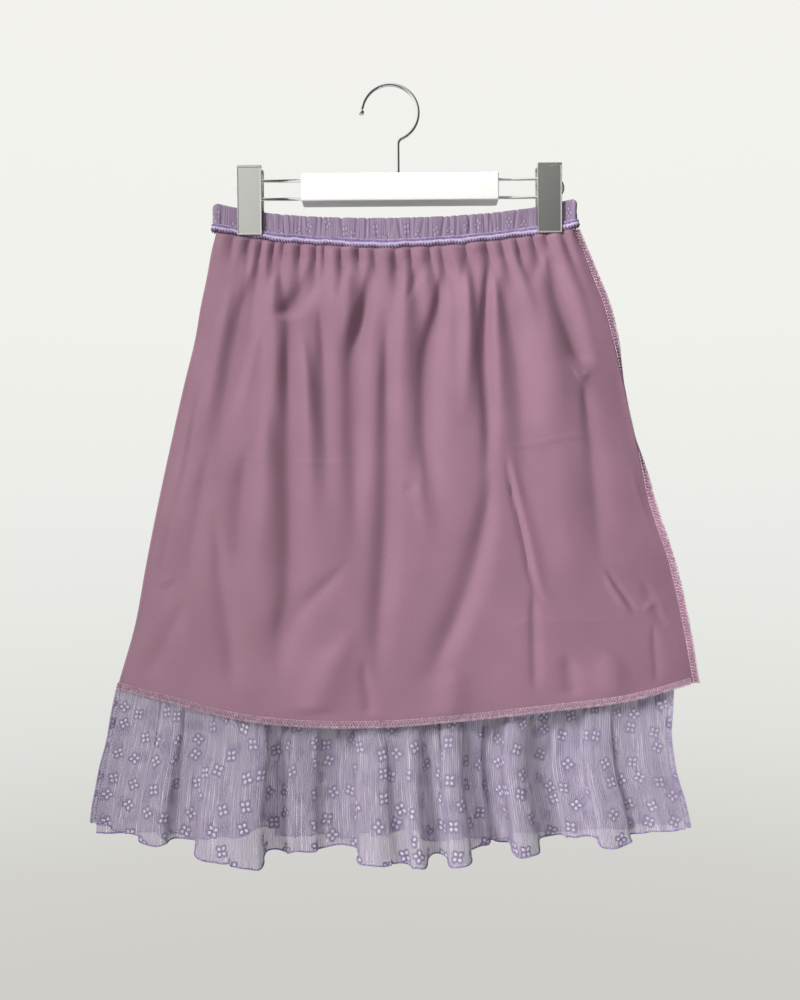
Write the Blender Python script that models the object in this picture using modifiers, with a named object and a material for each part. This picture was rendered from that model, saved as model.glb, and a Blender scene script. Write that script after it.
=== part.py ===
"""A gathered ruffle skirt, turned inside out and held by its waistband on a clip hanger.

Blender script: metres, +Z up, the front towards -Y. Sizes and tables are in millimetres and are
turned to metres as each mesh is made. The origin is the inner top of the hanger's hook, where a
rail or a wall hook carries it.

Cloth, from the outside in: a satin lining (outside, because the skirt is inside out), the sheer
outer panels, and the hollow. A ruffle hangs from the outer panels and shows below the lining.
Every cloth wall is an open surface, moved into place by a formula, with a Solidify modifier.
"""

import math
from typing import NamedTuple

import bmesh
import bpy
from mathutils import Vector

MM = 0.001
GAP = 0.3  # between pieces that are sewn or rest together
FACET_CLEAR = 0.3  # more than GAP, where two pieces follow one curve in facets of unlike length

# Cloth walls
LINING_WALL = 1.3
OUTER_WALL = 1.2
BAND_WALL = LINING_WALL + GAP + OUTER_WALL  # the band takes both cloths at its lower edge
ALLOWANCE_WALL = 2.2
HEM_ROLL = 2.0
HEM_FALL = 0.6  # from the ruffle's lower edge, whose two faces end at slightly different heights

# Waistband, between its two clips
BAND_LEFT, BAND_RIGHT = -164.0, 172.5
BAND_TOP_LOW, BAND_TOP_RISE = -126.0, 19.0  # lowest point of the top edge, and its rise to the ends
SEAM_LOW, SEAM_RISE, SEAM_POWER = -153.5, 19.5, 1.6  # lower line of the waist seam
SAG_SPAN = 168.0
SEAM_HEIGHT = 5.0
SEAM_COVER = 2.4  # how far the cloth's top edges run up behind the seam ridge
SEAM_WALL = 2.0
SEAM_STEPS = 4  # enough to settle the seam's height on a slanting panel
RUCHES = 30  # on each side of the band
RUCHE_RELIEF = 1.3
RUCHE_MIDDLE, RUCHE_SWING, RUCHE_BEAT = 0.65, 0.35, 1.7  # how unevenly tall the ruches are
PINCH = BAND_WALL + GAP / 2  # half thickness of the flattened band
BAND_OPEN, BAND_OPEN_SPAN, BAND_OPEN_MIDDLE, BAND_OPEN_POWER = 9.0, 122.0, 8.5, 1.5

# Hanger
WIRE = 3.45
HOOK_RADIUS, HOOK_TIP_ANGLE, HOOK_NECK_ANGLE, NECK_RADIUS = 26.2, 173.0, -66.0, 6.0
BALL = 5.4
BLOCK_SIZE = (182.0, 19.0, 26.0)
BLOCK_CENTRE = (9.0, 0.0, -96.0)
RAIL_WIRE = 2.8
RAIL_HIGH, RAIL_LOW = -87.1, -104.1
RAIL_ENDS = (-144.0, 162.0)
CLIP_CENTRES = (-130.0, 147.0)
PLATE_SIZE = (22.5, 1.6, 64.0)
PLATE_MIDDLE_Z = -107.0
HINGE_SIZE = (13.0, 13.0, 13.6)
HINGE_SHIFT = 3.5  # the hinge sits this far in from the plates' middle, clear of the rail's end
JAW_HALF_GAP = PINCH + GAP + SEAM_WALL + GAP  # the jaws close on the waist seam
PLATE_EDGE, HINGE_EDGE, BLOCK_EDGE = 0.5, 2.0, 1.8
HOOK_STEPS, NECK_STEPS, RAIL_STEPS = 24, 5, 8
BALL_STEPS, BALL_TRIM = 6, 0.4
CLIP_REACH = 15.0  # the band is pressed flat this far each side of a clip's centre

# Body of the skirt
TOP_EASE = 70.0  # the pressed waist turns into the round body over this drop
LENS_POWER = 2.2
EDGE_HOLD = 6  # a high power keeps folds and depth full until close to a panel's side edges
LEFT_TURN = 4.0  # radius of the lining's folded left edge
RIGHT_CLOSE = LINING_WALL + GAP
OUTER_CLOSE = OUTER_WALL + GAP
LAYER_CLEAR = 1.6
BACK_INSET = GAP + FACET_CLEAR  # of the back lining's left edge from the front's folded edge
LINING_RELIEF, RELIEF_EASE = 5.5, 60.0
FOLD_FULLNESS = 1.6  # the long folds are at full depth over most of their length
RUFFLE_TOP = -497.0
WAVE_ROUNDNESS = 0.75  # 0 gives plain waves, and 1 upright sides
INSET_HASTE = 1.3
FLARE_TOP, FLARE_DROP = -575.0, 120.0
LEFT_LAP_FROM, LEFT_LAP_TO = 0.06, 0.32  # in gathers from the lining's left seam
LEFT_LAP_ROW, RIGHT_LAP_ROW = 2, 1  # of LINING_DROPS, where the side seams' allowances start
ALLOWANCE_WIDTH, RUFFLE_ALLOWANCE = 7.0, 5.5
RUFFLE_ALLOWANCE_ROW = 2  # of RUFFLE_SHARES: above it the side seams lie flat inside the lining


class Edge(NamedTuple):
    """Where a tube of cloth has its two side edges, at one height."""

    z: float
    left: float
    right: float


LINING_EDGES = (
    Edge(-134, -162.0, 168.5),
    Edge(-149, -166.0, 175.0),
    Edge(-177, -171.5, 186.0),
    Edge(-205, -177.5, 197.0),
    Edge(-233, -182.5, 204.0),
    Edge(-275, -193.0, 214.0),
    Edge(-331, -206.0, 226.0),
    Edge(-387, -218.5, 237.0),
    Edge(-443, -230.0, 255.0),
    Edge(-498, -240.5, 267.0),
    Edge(-557, -257.5, 277.0),
    Edge(-600, -268.0, 285.0),
)

OUTER_EDGES = (
    Edge(-134, -159.0, 165.0),
    Edge(-250, -182.0, 200.0),
    Edge(-400, -215.0, 232.0),
    Edge(-497, -234.0, 248.0),
    Edge(-554, -252.0, 254.0),
    Edge(-610, -263.5, 252.0),
    Edge(-633, -269.5, 254.5),
    Edge(-666, -276.0, 263.5),
    Edge(-700, -280.0, 271.0),
)


class Hem(NamedTuple):
    """The lining's hem: across runs from -1 at the left edge to 1 at the right."""

    across: float
    z: float


LINING_HEM = (
    Hem(-1.0, -554.5),
    Hem(-0.79, -566.0),
    Hem(-0.6, -577.5),
    Hem(-0.07, -585.0),
    Hem(0.2, -580.0),
    Hem(0.5, -573.5),
    Hem(0.73, -569.0),
    Hem(1.0, -557.0),
)


class Depth(NamedTuple):
    """Half the body's depth in the middle, at one height."""

    z: float
    half: float


BODY_DEPTHS = (
    Depth(-134, 9.0),
    Depth(-200, 14.0),
    Depth(-300, 20.0),
    Depth(-450, 26.0),
    Depth(-585, 31.0),
    Depth(-710, 36.0),
)


class Gather(NamedTuple):
    """A gather below the waist seam: the notch where it starts, and the ridge to its right."""

    notch: float
    relief: float


GATHERS = (
    Gather(-160.0, 2.0),
    Gather(-146.0, 3.4),
    Gather(-131.0, 2.6),
    Gather(-120.0, 3.6),
    Gather(-108.5, 2.2),
    Gather(-99.5, 4.4),
    Gather(-84.0, 3.6),
    Gather(-70.0, 2.2),
    Gather(-62.0, 3.8),
    Gather(-47.0, 4.6),
    Gather(-32.0, 3.4),
    Gather(-17.5, 4.6),
    Gather(1.0, 3.4),
    Gather(14.0, 4.2),
    Gather(31.0, 2.0),
    Gather(42.0, 4.0),
    Gather(64.0, 4.6),
    Gather(83.0, 3.4),
    Gather(98.0, 3.8),
    Gather(112.5, 3.4),
    Gather(127.5, 3.0),
    Gather(140.5, 3.6),
    Gather(157.0, 2.4),
)


class Fade(NamedTuple):
    """How strong the gathers are at a drop below the waist seam."""

    drop: float
    strength: float


GATHER_FADE = (
    Fade(-SEAM_COVER, 0.0),
    Fade(0.4, 0.05),
    Fade(9.0, 0.85),
    Fade(26.0, 1.0),
    Fade(52.0, 0.7),
    Fade(90.0, 0.25),
    Fade(140.0, 0.0),
)


class Fold(NamedTuple):
    """A long fold of the lining: troughs have a negative relief and ridges a positive one."""

    top: float
    bottom: float
    x_top: float
    x_middle: float
    x_bottom: float
    half_width: float
    relief: float


LINING_FOLDS = (
    Fold(-158, -335, -128, -146, -166, 12, -5.0),
    Fold(-190, -330, -116, -114, -110, 14, 3.0),
    Fold(-230, -490, -101, -98, -100, 12, -4.0),
    Fold(-172, -300, -26, -30, -35, 11, -4.0),
    Fold(-165, -500, -11, -8, -18, 14, -4.0),
    Fold(-172, -320, 8, 7, 8, 14, 3.0),
    Fold(-162, -320, 44, 36, 26, 12, -4.0),
    Fold(-172, -545, 84, 80, 26, 15, -6.0),
    Fold(-158, -300, 97, 100, 109, 14, -5.0),
    Fold(-208, -312, 127, 133, 142, 22, 5.0),
    Fold(-158, -258, 156, 162, 172, 10, -4.0),
    Fold(-274, -480, 167, 180, 180, 12, -4.0),
    Fold(-256, -470, 203, 222, 243, 14, -3.5),
    Fold(-396, -546, -168, -162, -150, 12, -3.5),
    Fold(-436, -540, -38, -76, -114, 15, -4.0),
    Fold(-484, -545, -200, -218, -233, 11, -3.0),
    Fold(-461, -560, 125, 126, 127, 10, -3.0),
)


class Wave(NamedTuple):
    """A ridge or a valley of the ruffle at its hem. Inset draws it in by a share of the depth,
    flare stands it out, and the cloth turns from each row to the next in one soft step."""

    x: float
    z: float
    inset: float
    flare: float


RUFFLE_WAVES = (
    Wave(-280.0, -683.0, 0.0, 0.0),
    Wave(-250.0, -690.0, 0.05, 3.0),
    Wave(-222.0, -698.0, 0.0, 8.0),
    Wave(-197.0, -694.0, 0.5, 0.0),
    Wave(-166.0, -706.0, 0.0, 9.0),
    Wave(-128.0, -710.0, 0.0, 11.0),
    Wave(-110.0, -706.0, 0.6, 0.0),
    Wave(-90.0, -705.0, 0.25, 0.0),
    Wave(-53.0, -703.0, 0.78, 0.0),
    Wave(-14.0, -707.0, 0.0, 6.0),
    Wave(8.0, -709.0, 0.2, 2.0),
    Wave(20.0, -710.0, 0.0, 7.0),
    Wave(37.0, -706.0, 0.45, 0.0),
    Wave(57.0, -709.0, 0.0, 8.0),
    Wave(78.0, -701.0, 0.6, 0.0),
    Wave(96.0, -698.0, 0.78, 0.0),
    Wave(114.0, -702.0, 0.0, 9.0),
    Wave(147.0, -697.0, 0.55, 0.0),
    Wave(172.0, -698.0, 0.3, 0.0),
    Wave(200.0, -700.0, 0.0, 9.0),
    Wave(231.0, -693.0, 0.4, 0.0),
    Wave(257.0, -693.0, 0.0, 3.0),
    Wave(271.0, -692.0, 0.0, 0.0),
)


class Turn(NamedTuple):
    """How far, in degrees, the right seam allowance is turned to the back at one height."""

    z: float
    angle: float


ALLOWANCE_TURNS = (
    Turn(-140, 8.0),
    Turn(-230, 12.0),
    Turn(-270, 62.0),
    Turn(-335, 66.0),
    Turn(-370, 14.0),
    Turn(-560, 6.0),
)

# Rows of the cloth surfaces: drops below the waist seam, and shares of the way down
LINING_LENGTH = 431.0  # from the waist seam to the hem, in the middle
LINING_DROPS = (-SEAM_COVER, 0.4, 9.0, 26.0, 52.0, 90.0, 145.0, 205.0, 265.0, 325.0, 380.0, LINING_LENGTH)
LINING_FINE_ROWS = 5
OUTER_DROPS = (-SEAM_COVER, 9.0, 26.0, 52.0, 90.0, 160.0, 250.0, 343.5)
OUTER_COLUMNS = 18
RUFFLE_SHARES = (0.0, 0.19, 0.39, 0.55, 0.7, 0.85, 1.0)
BAND_SHARES = (1.0, 0.8, 0.32, 0.13, 0.0)
BAND_FULLNESS = (0.3, 1.0, 1.0, 0.0, 0.0)  # the ruches' height on each of those rows
COLUMNS_PER_GATHER = 3
COLUMNS_PER_WAVE = 3
TURN_COLUMNS = 4


def lerp(a, b, share):
    return a + (b - a) * share


def clamp(value, low=0.0, high=1.0):
    return max(low, min(high, value))


def smooth(value):
    """A soft step from 0 to 1."""
    value = clamp(value)
    return value * value * (3 - 2 * value)


def read(table, key, column, at):
    """A table's column where its key column has the value at, in straight lines between rows."""
    rows = sorted(table, key=lambda row: getattr(row, key))
    for low, high in zip(rows, rows[1:]):
        start, end = getattr(low, key), getattr(high, key)
        if at <= end:
            share = clamp((at - start) / (end - start))
            return lerp(getattr(low, column), getattr(high, column), share)
    return getattr(rows[-1], column)


def edges(table, z):
    return read(table, "z", "left", z), read(table, "z", "right", z)


def seam_z(x):
    """The lower line of the waist seam, which sags between the clips."""
    return SEAM_LOW + SEAM_RISE * abs(x / SAG_SPAN) ** SEAM_POWER


def band_top_z(x):
    return BAND_TOP_LOW + BAND_TOP_RISE * (x / SAG_SPAN) ** 2


def band_depth(x):
    """Half the waistband's outer depth: pressed flat at the clips, a little open between them."""
    away = (x - BAND_OPEN_MIDDLE) / BAND_OPEN_SPAN
    return PINCH + BAND_OPEN * max(0.0, 1 - away * away) ** BAND_OPEN_POWER


def clipped(x):
    """1 under a clip, 0 well away from it."""
    nearest = min(abs(x - centre) for centre in CLIP_CENTRES)
    return 1 - smooth((nearest - CLIP_REACH) / CLIP_REACH)


def below_seam(x, z, reach):
    """A soft step from 0 at the waist seam to 1 at a drop of reach."""
    return smooth((seam_z(x) - z) / reach)


def body_depth(across, x, z):
    """Half the depth of the lining in its valleys, to its outer face. Across is -1 to 1."""
    close = lerp(LEFT_TURN, RIGHT_CLOSE, smooth((across + 1) / 2))
    middle = read(BODY_DEPTHS, "z", "half", z)
    body = close + middle * (1 - abs(across) ** LENS_POWER)
    return lerp(band_depth(x), body, below_seam(x, z, TOP_EASE))


def depth_inside(x, z):
    """Half the depth left for what hangs inside the lining, to its outer face."""
    left, right = edges(LINING_EDGES, z)
    across = clamp(2 * (x - left) / (right - left) - 1, -1.0, 1.0)
    clear = lerp(GAP, LAYER_CLEAR, below_seam(x, z, TOP_EASE))
    return body_depth(across, x, z) - LINING_WALL - clear


def fold_relief(x, z, folds):
    """What the long folds add to the lining's depth at a place."""
    total = 0.0
    for fold in folds:
        share = (fold.top - z) / (fold.top - fold.bottom)
        if 0 < share < 1:
            bend = 4 * share * (1 - share)
            lean = fold.x_middle - (fold.x_top + fold.x_bottom) / 2
            away = (x - lerp(fold.x_top, fold.x_bottom, share) - lean * bend) / fold.half_width
            total += fold.relief * math.exp(-away * away) * smooth(bend * FOLD_FULLNESS)
    return total


def lining_relief(across, x, z, folds):
    """How far the lining stands out from its valleys, gathers left out."""
    relief = max(0.0, LINING_RELIEF + fold_relief(x, z, folds))
    return relief * below_seam(x, z, RELIEF_EASE) * (1 - across**EDGE_HOLD)


def mirrored_gathers():
    """The back's gathers: the front's, as seen from behind."""
    rows = GATHERS[::-1]
    notches = [BAND_LEFT] + [BAND_LEFT + BAND_RIGHT - row.notch for row in rows[:-1]]
    return tuple(Gather(notch, row.relief) for notch, row in zip(notches, rows))


def mirrored_folds():
    """The back's long folds: the front's, as seen from behind."""
    middle = BAND_LEFT + BAND_RIGHT
    return tuple(
        fold._replace(
            x_top=middle - fold.x_top,
            x_middle=middle - fold.x_middle,
            x_bottom=middle - fold.x_bottom,
        )
        for fold in LINING_FOLDS
    )


def mirrored_waves():
    """The back ruffle's waves: the front's, as seen from behind."""
    middle = RUFFLE_WAVES[0].x + RUFFLE_WAVES[-1].x
    return tuple(wave._replace(x=middle - wave.x) for wave in reversed(RUFFLE_WAVES))


BACK_GATHERS = mirrored_gathers()
BACK_FOLDS = mirrored_folds()
BACK_WAVES = mirrored_waves()


def gather_across(gathers, phase):
    """Place across the waist, -1 to 1, at a phase: phase k is notch k, and the last the right edge."""
    left, right = edges(LINING_EDGES, LINING_EDGES[0].z)
    stops = [left] + [row.notch for row in gathers[1:]] + [right]
    index = min(int(phase), len(gathers) - 1)
    x = lerp(stops[index], stops[index + 1], phase - index)
    return 2 * (x - left) / (right - left) - 1


def seam_over(table, across, inset=0.0):
    """Height of the waist seam above a place across a panel, whose edges slant out below it."""
    z = SEAM_LOW
    for _ in range(SEAM_STEPS):
        left, right = edges(table, z)
        z = seam_z(lerp(left + inset, right, (across + 1) / 2))
    return z


def lining_z(across, drop):
    """Height at a drop below the waist seam; the drop is scaled to end at the hem's own line."""
    top = seam_over(LINING_EDGES, across, PINCH)
    return lerp(top, read(LINING_HEM, "across", "z", across), drop / LINING_LENGTH)


def lining_point(side, gathers, folds, phase, drop, lift=0.0):
    """A point on the lining's outer face. Side is -1 for the front and 1 for the back."""
    even = 2 * phase / len(gathers) - 1
    across = lerp(gather_across(gathers, phase), even, smooth(drop / LINING_LENGTH))
    z = lining_z(across, drop)
    left, right = edges(LINING_EDGES, z)
    start = left + body_depth(-1.0, left, z) + (BACK_INSET if side > 0 else 0.0)
    x = lerp(start, right, (across + 1) / 2)
    gather = gathers[min(int(phase), len(gathers) - 1)]
    ridge = gather.relief * (1 - math.cos(2 * math.pi * phase)) / 2
    depth = body_depth(across, x, z) + lining_relief(across, x, z, folds)
    depth += ridge * read(GATHER_FADE, "drop", "strength", drop) + lift
    return x, side * depth, z


def front_lining_point(column, drop):
    """The front is cut wider: its left edge wraps round the fold to a seam on the back."""
    if column >= TURN_COLUMNS:
        phase = (column - TURN_COLUMNS) / COLUMNS_PER_GATHER
        return lining_point(-1, GATHERS, LINING_FOLDS, phase, drop)
    z = lining_z(-1.0, drop)
    left, _ = edges(LINING_EDGES, z)
    radius = body_depth(-1.0, left, z)
    angle = math.radians(lerp(90, -90, column / TURN_COLUMNS))
    return left + radius * (1 - math.cos(angle)), radius * math.sin(angle), z


def back_lining_point(column, drop):
    phase = len(GATHERS) - column / COLUMNS_PER_GATHER
    return lining_point(1, BACK_GATHERS, BACK_FOLDS, phase, drop)


def outer_point(side, share, drop):
    """A point on an outer panel's face next to the lining."""
    top = seam_over(OUTER_EDGES, 2 * share - 1)
    bottom = RUFFLE_TOP + GAP
    z = lerp(top + SEAM_COVER, bottom, (drop + SEAM_COVER) / (OUTER_DROPS[-1] + SEAM_COVER))
    left, right = edges(OUTER_EDGES, z)
    x = lerp(left, right, share)
    room = max(0.0, depth_inside(x, z) - OUTER_CLOSE)
    return x, side * (OUTER_CLOSE + room * (1 - (2 * share - 1) ** EDGE_HOLD)), z


def ruffle_point(side, waves, phase, share, lift=0.0, fall=0.0):
    """A point on the ruffle's outer face: phase k is wave k, and share runs from seam to hem."""
    index = min(int(phase), len(waves) - 2)
    here, after = waves[index], waves[index + 1]
    step = phase - index
    turn = (1 - math.cos(math.pi * step)) / 2
    stride = step + WAVE_ROUNDNESS * math.sin(2 * math.pi * step) / (2 * math.pi)
    z = lerp(RUFFLE_TOP, lerp(here.z, after.z, turn), share)
    hem_left, hem_right = waves[0].x, waves[-1].x
    hem_place = (lerp(here.x, after.x, stride) - hem_left) / (hem_right - hem_left)
    place = lerp(phase / (len(waves) - 1), hem_place, smooth(share))
    left, right = edges(OUTER_EDGES, z)
    x = lerp(left, right, place)
    room = max(0.0, depth_inside(x, z) - OUTER_CLOSE)
    room *= 1 - lerp(here.inset, after.inset, turn) * smooth(share * INSET_HASTE)
    room += lerp(here.flare, after.flare, turn) * smooth((FLARE_TOP - z) / FLARE_DROP)
    depth = OUTER_CLOSE + room * (1 - (2 * place - 1) ** EDGE_HOLD) + lift
    return x, side * depth, z - fall


def ring_point(column, face, lift):
    """Round the waist, anticlockwise from above: front, right turn, back, left turn."""
    left, right = BAND_LEFT + PINCH, BAND_RIGHT - PINCH
    radius = PINCH + lift
    if column <= face:
        x = lerp(left, right, column / face)
        return x, -(band_depth(x) + lift)
    column -= face
    if column < TURN_COLUMNS:
        angle = math.radians(lerp(-90, 90, column / TURN_COLUMNS))
        return right + radius * math.cos(angle), radius * math.sin(angle)
    column -= TURN_COLUMNS
    if column <= face:
        x = lerp(right, left, column / face)
        return x, band_depth(x) + lift
    angle = math.radians(lerp(90, 270, (column - face) / TURN_COLUMNS))
    return left + radius * math.cos(angle), radius * math.sin(angle)


def band_point(column, row):
    """A point on the waistband's outer face: every second column is the ridge of a ruche."""
    column %= 2 * (2 * RUCHES + TURN_COLUMNS)
    relief = 0.0
    if column % 2:
        uneven = RUCHE_MIDDLE + RUCHE_SWING * math.sin(RUCHE_BEAT * column)
        relief = RUCHE_RELIEF * uneven * BAND_FULLNESS[row]
    x, _ = ring_point(column, 2 * RUCHES, 0.0)
    x, y = ring_point(column, 2 * RUCHES, relief * (1 - clipped(x)))
    bottom = seam_z(x) + SEAM_COVER + GAP
    return x, y, lerp(bottom, band_top_z(x), BAND_SHARES[row])


def waist_seam_point(column, row):
    """The waist seam's gathered allowance stands outside the join of band and panels."""
    x, y = ring_point(column % (2 * (RUCHES + TURN_COLUMNS)), RUCHES, GAP + SEAM_WALL)
    return x, y, seam_z(x) + SEAM_HEIGHT * (1 - row)


def right_allowance_point(column, row):
    """The right side seam's allowance stands out from the seam, turned back part of the way."""
    z = lining_z(1.0, LINING_DROPS[RIGHT_LAP_ROW + row])
    _, right = edges(LINING_EDGES, z)
    angle = math.radians(read(ALLOWANCE_TURNS, "z", "angle", z))
    reach = ALLOWANCE_WIDTH * column
    root = right + GAP + FACET_CLEAR / 2 + ALLOWANCE_WALL * math.sin(angle)
    return root + reach * math.cos(angle), reach * math.sin(angle) - ALLOWANCE_WALL / 2, z


def left_allowance_point(column, row):
    """The left side seam's allowance lies on the back panel, beside the fold."""
    phase = lerp(LEFT_LAP_TO, LEFT_LAP_FROM, column)
    drop = LINING_DROPS[LEFT_LAP_ROW + row]
    lift = GAP + FACET_CLEAR + ALLOWANCE_WALL
    return lining_point(1, BACK_GATHERS, BACK_FOLDS, phase, drop, lift)


def ruffle_allowance_point(column, row, end):
    """The ruffle's side seams stand out from its two edges. End is 0 at the left, 1 at the right."""
    hem = (RUFFLE_WAVES[0].z, RUFFLE_WAVES[-1].z)[end]
    z = lerp(RUFFLE_TOP, hem, RUFFLE_SHARES[RUFFLE_ALLOWANCE_ROW + row])
    edge = edges(OUTER_EDGES, z)[end]
    reach = 2 * FACET_CLEAR + GAP / 2 + RUFFLE_ALLOWANCE * (column if end else 1 - column)
    return edge + reach * (1 if end else -1), -ALLOWANCE_WALL / 2, z


class Finish(NamedTuple):
    """A material: its linear colour, its roughness, and 1 for a metal."""

    name: str
    colour: tuple
    roughness: float
    metallic: float


SATIN = Finish("mauve_satin", (0.33, 0.19, 0.26), 0.4, 0.0)
SHEER = Finish("lilac_sheer", (0.40, 0.33, 0.47), 0.8, 0.0)
THREAD = Finish("purple_thread", (0.27, 0.18, 0.38), 0.7, 0.0)
CHROME = Finish("chromed_wire", (0.62, 0.62, 0.62), 0.15, 1.0)
STEEL = Finish("plated_steel", (0.50, 0.50, 0.50), 0.3, 1.0)
LACQUER = Finish("white_lacquer", (0.90, 0.90, 0.88), 0.3, 0.0)


def material(finish):
    made = bpy.data.materials.new(finish.name)
    made.use_nodes = True
    shader = made.node_tree.nodes["Principled BSDF"]
    shader.inputs["Base Color"].default_value = (*finish.colour, 1.0)
    shader.inputs["Roughness"].default_value = finish.roughness
    shader.inputs["Metallic"].default_value = finish.metallic
    made.diffuse_color = (*finish.colour, 1.0)
    return made


def add_object(name, data, finish, collection):
    made = bpy.data.objects.new(name, data)
    data.materials.append(finish)
    collection.objects.link(made)
    return made


def add_cloth(name, columns, rows, place, wall, finish, collection, coarse_below=None, ring=False):
    """A sheet of columns by rows, moved to place(column, row), with its wall on the inner side.

    Below the row coarse_below every second column is dropped, and a ring's two ends are joined.
    """
    shape = bmesh.new()
    bmesh.ops.create_grid(shape, x_segments=columns, y_segments=rows, size=1.0)
    cells = {
        vert: (round((vert.co.x + 1) / 2 * columns), round((1 - vert.co.y) / 2 * rows))
        for vert in shape.verts
    }
    for vert, (column, row) in cells.items():
        vert.co = Vector(place(column, row)) * MM
    if coarse_below is not None:
        spare = [
            edge
            for edge in shape.edges
            if cells[edge.verts[0]][0] == cells[edge.verts[1]][0]
            and TURN_COLUMNS < cells[edge.verts[0]][0] < columns
            and cells[edge.verts[0]][0] % 2
            and min(cells[vert][1] for vert in edge.verts) >= coarse_below
        ]
        bmesh.ops.dissolve_edges(shape, edges=spare, use_verts=True)
    if ring:
        bmesh.ops.remove_doubles(shape, verts=shape.verts, dist=MM * 1e-3)
    bmesh.ops.triangulate(shape, faces=shape.faces)
    mesh = bpy.data.meshes.new(name)
    shape.to_mesh(mesh)
    shape.free()
    mesh.shade_smooth()
    made = add_object(name, mesh, finish, collection)
    solidify = made.modifiers.new("wall", "SOLIDIFY")
    solidify.thickness = wall * MM
    solidify.offset = -1.0
    return made


def add_box(name, size, centre, edge, finish, collection, lean=0.0):
    """A box with rounded edges; lean turns its top towards +Y, in degrees."""
    shape = bmesh.new()
    bmesh.ops.create_cube(shape, size=1.0)
    bmesh.ops.scale(shape, vec=Vector(size) * MM, verts=shape.verts)
    mesh = bpy.data.meshes.new(name)
    shape.to_mesh(mesh)
    shape.free()
    made = add_object(name, mesh, finish, collection)
    made.location = Vector(centre) * MM
    made.rotation_euler.x = math.radians(-lean)
    bevel = made.modifiers.new("edges", "BEVEL")
    bevel.width = edge * MM
    bevel.segments = 2
    return made


def add_wire(name, points, diameter, finish, collection):
    """A wire through (x, z, share of the diameter) points in the hanger's plane."""
    data = bpy.data.curves.new(name, "CURVE")
    data.dimensions = "3D"
    data.bevel_depth = diameter / 2 * MM
    data.bevel_resolution = 2
    data.use_fill_caps = True
    spline = data.splines.new("POLY")
    spline.points.add(len(points) - 1)
    for point, (x, z, share) in zip(spline.points, points):
        point.co = (x * MM, 0.0, z * MM, 1.0)
        point.radius = share
    return add_object(name, data, finish, collection)


def arc(centre_x, centre_z, radius, start, end, steps):
    """Points of an arc, as (x, z, 1), from start to end in degrees."""
    turns = [math.radians(lerp(start, end, step / steps)) for step in range(steps + 1)]
    return [(centre_x + radius * math.cos(t), centre_z + radius * math.sin(t), 1.0) for t in turns]


def ball_end(points):
    """The hook's tip swells to a ball, drawn back along the hook's own tangent."""
    (tip_x, tip_z, _), (next_x, next_z, _) = points[:2]
    length = math.hypot(tip_x - next_x, tip_z - next_z)
    along_x, along_z = (tip_x - next_x) / length, (tip_z - next_z) / length
    radius = BALL / 2
    ball = []
    for step in range(BALL_STEPS + 1):
        out = radius * math.cos(math.pi * (step + BALL_TRIM) / (BALL_STEPS + 2 * BALL_TRIM))
        share = math.sqrt(radius * radius - out * out) / (WIRE / 2)
        ball.append((tip_x + along_x * (out + radius), tip_z + along_z * (out + radius), share))
    return ball + points[1:]


def hook_points():
    """From the ball tip over the top, down the right side, and back to the shank."""
    centre_z = WIRE / 2 - HOOK_RADIUS
    bow = arc(0.0, centre_z, HOOK_RADIUS, HOOK_TIP_ANGLE, HOOK_NECK_ANGLE, HOOK_STEPS)
    neck_x, neck_z, _ = bow[-1]
    toward = math.radians(HOOK_NECK_ANGLE)
    bend_x = neck_x + NECK_RADIUS * math.cos(toward)
    bend_z = neck_z + NECK_RADIUS * math.sin(toward)
    bend = arc(bend_x, bend_z, NECK_RADIUS, HOOK_NECK_ANGLE + 180, 180, NECK_STEPS)
    foot = (bend_x - NECK_RADIUS, BLOCK_CENTRE[2] + BLOCK_SIZE[2] / 2 + GAP, 1.0)
    return ball_end(bow) + bend[1:] + [foot]


def rail_points(end_x, block_x):
    """One end's rail: out along the top, round the end and back along the bottom."""
    side = 1 if end_x > block_x else -1
    radius = (RAIL_HIGH - RAIL_LOW) / 2
    turn_x = end_x - side * (radius + RAIL_WIRE / 2)
    middle = (RAIL_HIGH + RAIL_LOW) / 2
    start, end = (90, -90) if side > 0 else (90, 270)
    turn = arc(turn_x, middle, radius, start, end, RAIL_STEPS)
    root = block_x + side * GAP
    return [(root, RAIL_HIGH, 1.0)] + turn + [(root, RAIL_LOW, 1.0)]


def build_lining(satin, collection):
    """The lining's two panels and their side seams' allowances."""
    columns = COLUMNS_PER_GATHER * len(GATHERS)
    rows = len(LINING_DROPS) - 1

    def front(column, row):
        return front_lining_point(column, LINING_DROPS[row])

    def back(column, row):
        return back_lining_point(column, LINING_DROPS[row])

    for name, count, place in (("front", columns + TURN_COLUMNS, front), ("back", columns, back)):
        name = f"lining_{name}"
        add_cloth(name, count, rows, place, LINING_WALL, satin, collection, LINING_FINE_ROWS)
    for name, place, top_row in (
        ("lining_seam_left", left_allowance_point, LEFT_LAP_ROW),
        ("lining_seam_right", right_allowance_point, RIGHT_LAP_ROW),
    ):
        add_cloth(name, 1, rows - top_row, place, ALLOWANCE_WALL, satin, collection)


def build_outer(sheer, collection):
    """The two outer panels, plain and hidden between the lining and the hollow."""
    rows = len(OUTER_DROPS) - 1

    def front(column, row):
        return outer_point(-1, column / OUTER_COLUMNS, OUTER_DROPS[row])

    def back(column, row):
        return outer_point(1, 1 - column / OUTER_COLUMNS, OUTER_DROPS[row])

    add_cloth("outer_front", OUTER_COLUMNS, rows, front, OUTER_WALL, sheer, collection)
    add_cloth("outer_back", OUTER_COLUMNS, rows, back, OUTER_WALL, sheer, collection)


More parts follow.
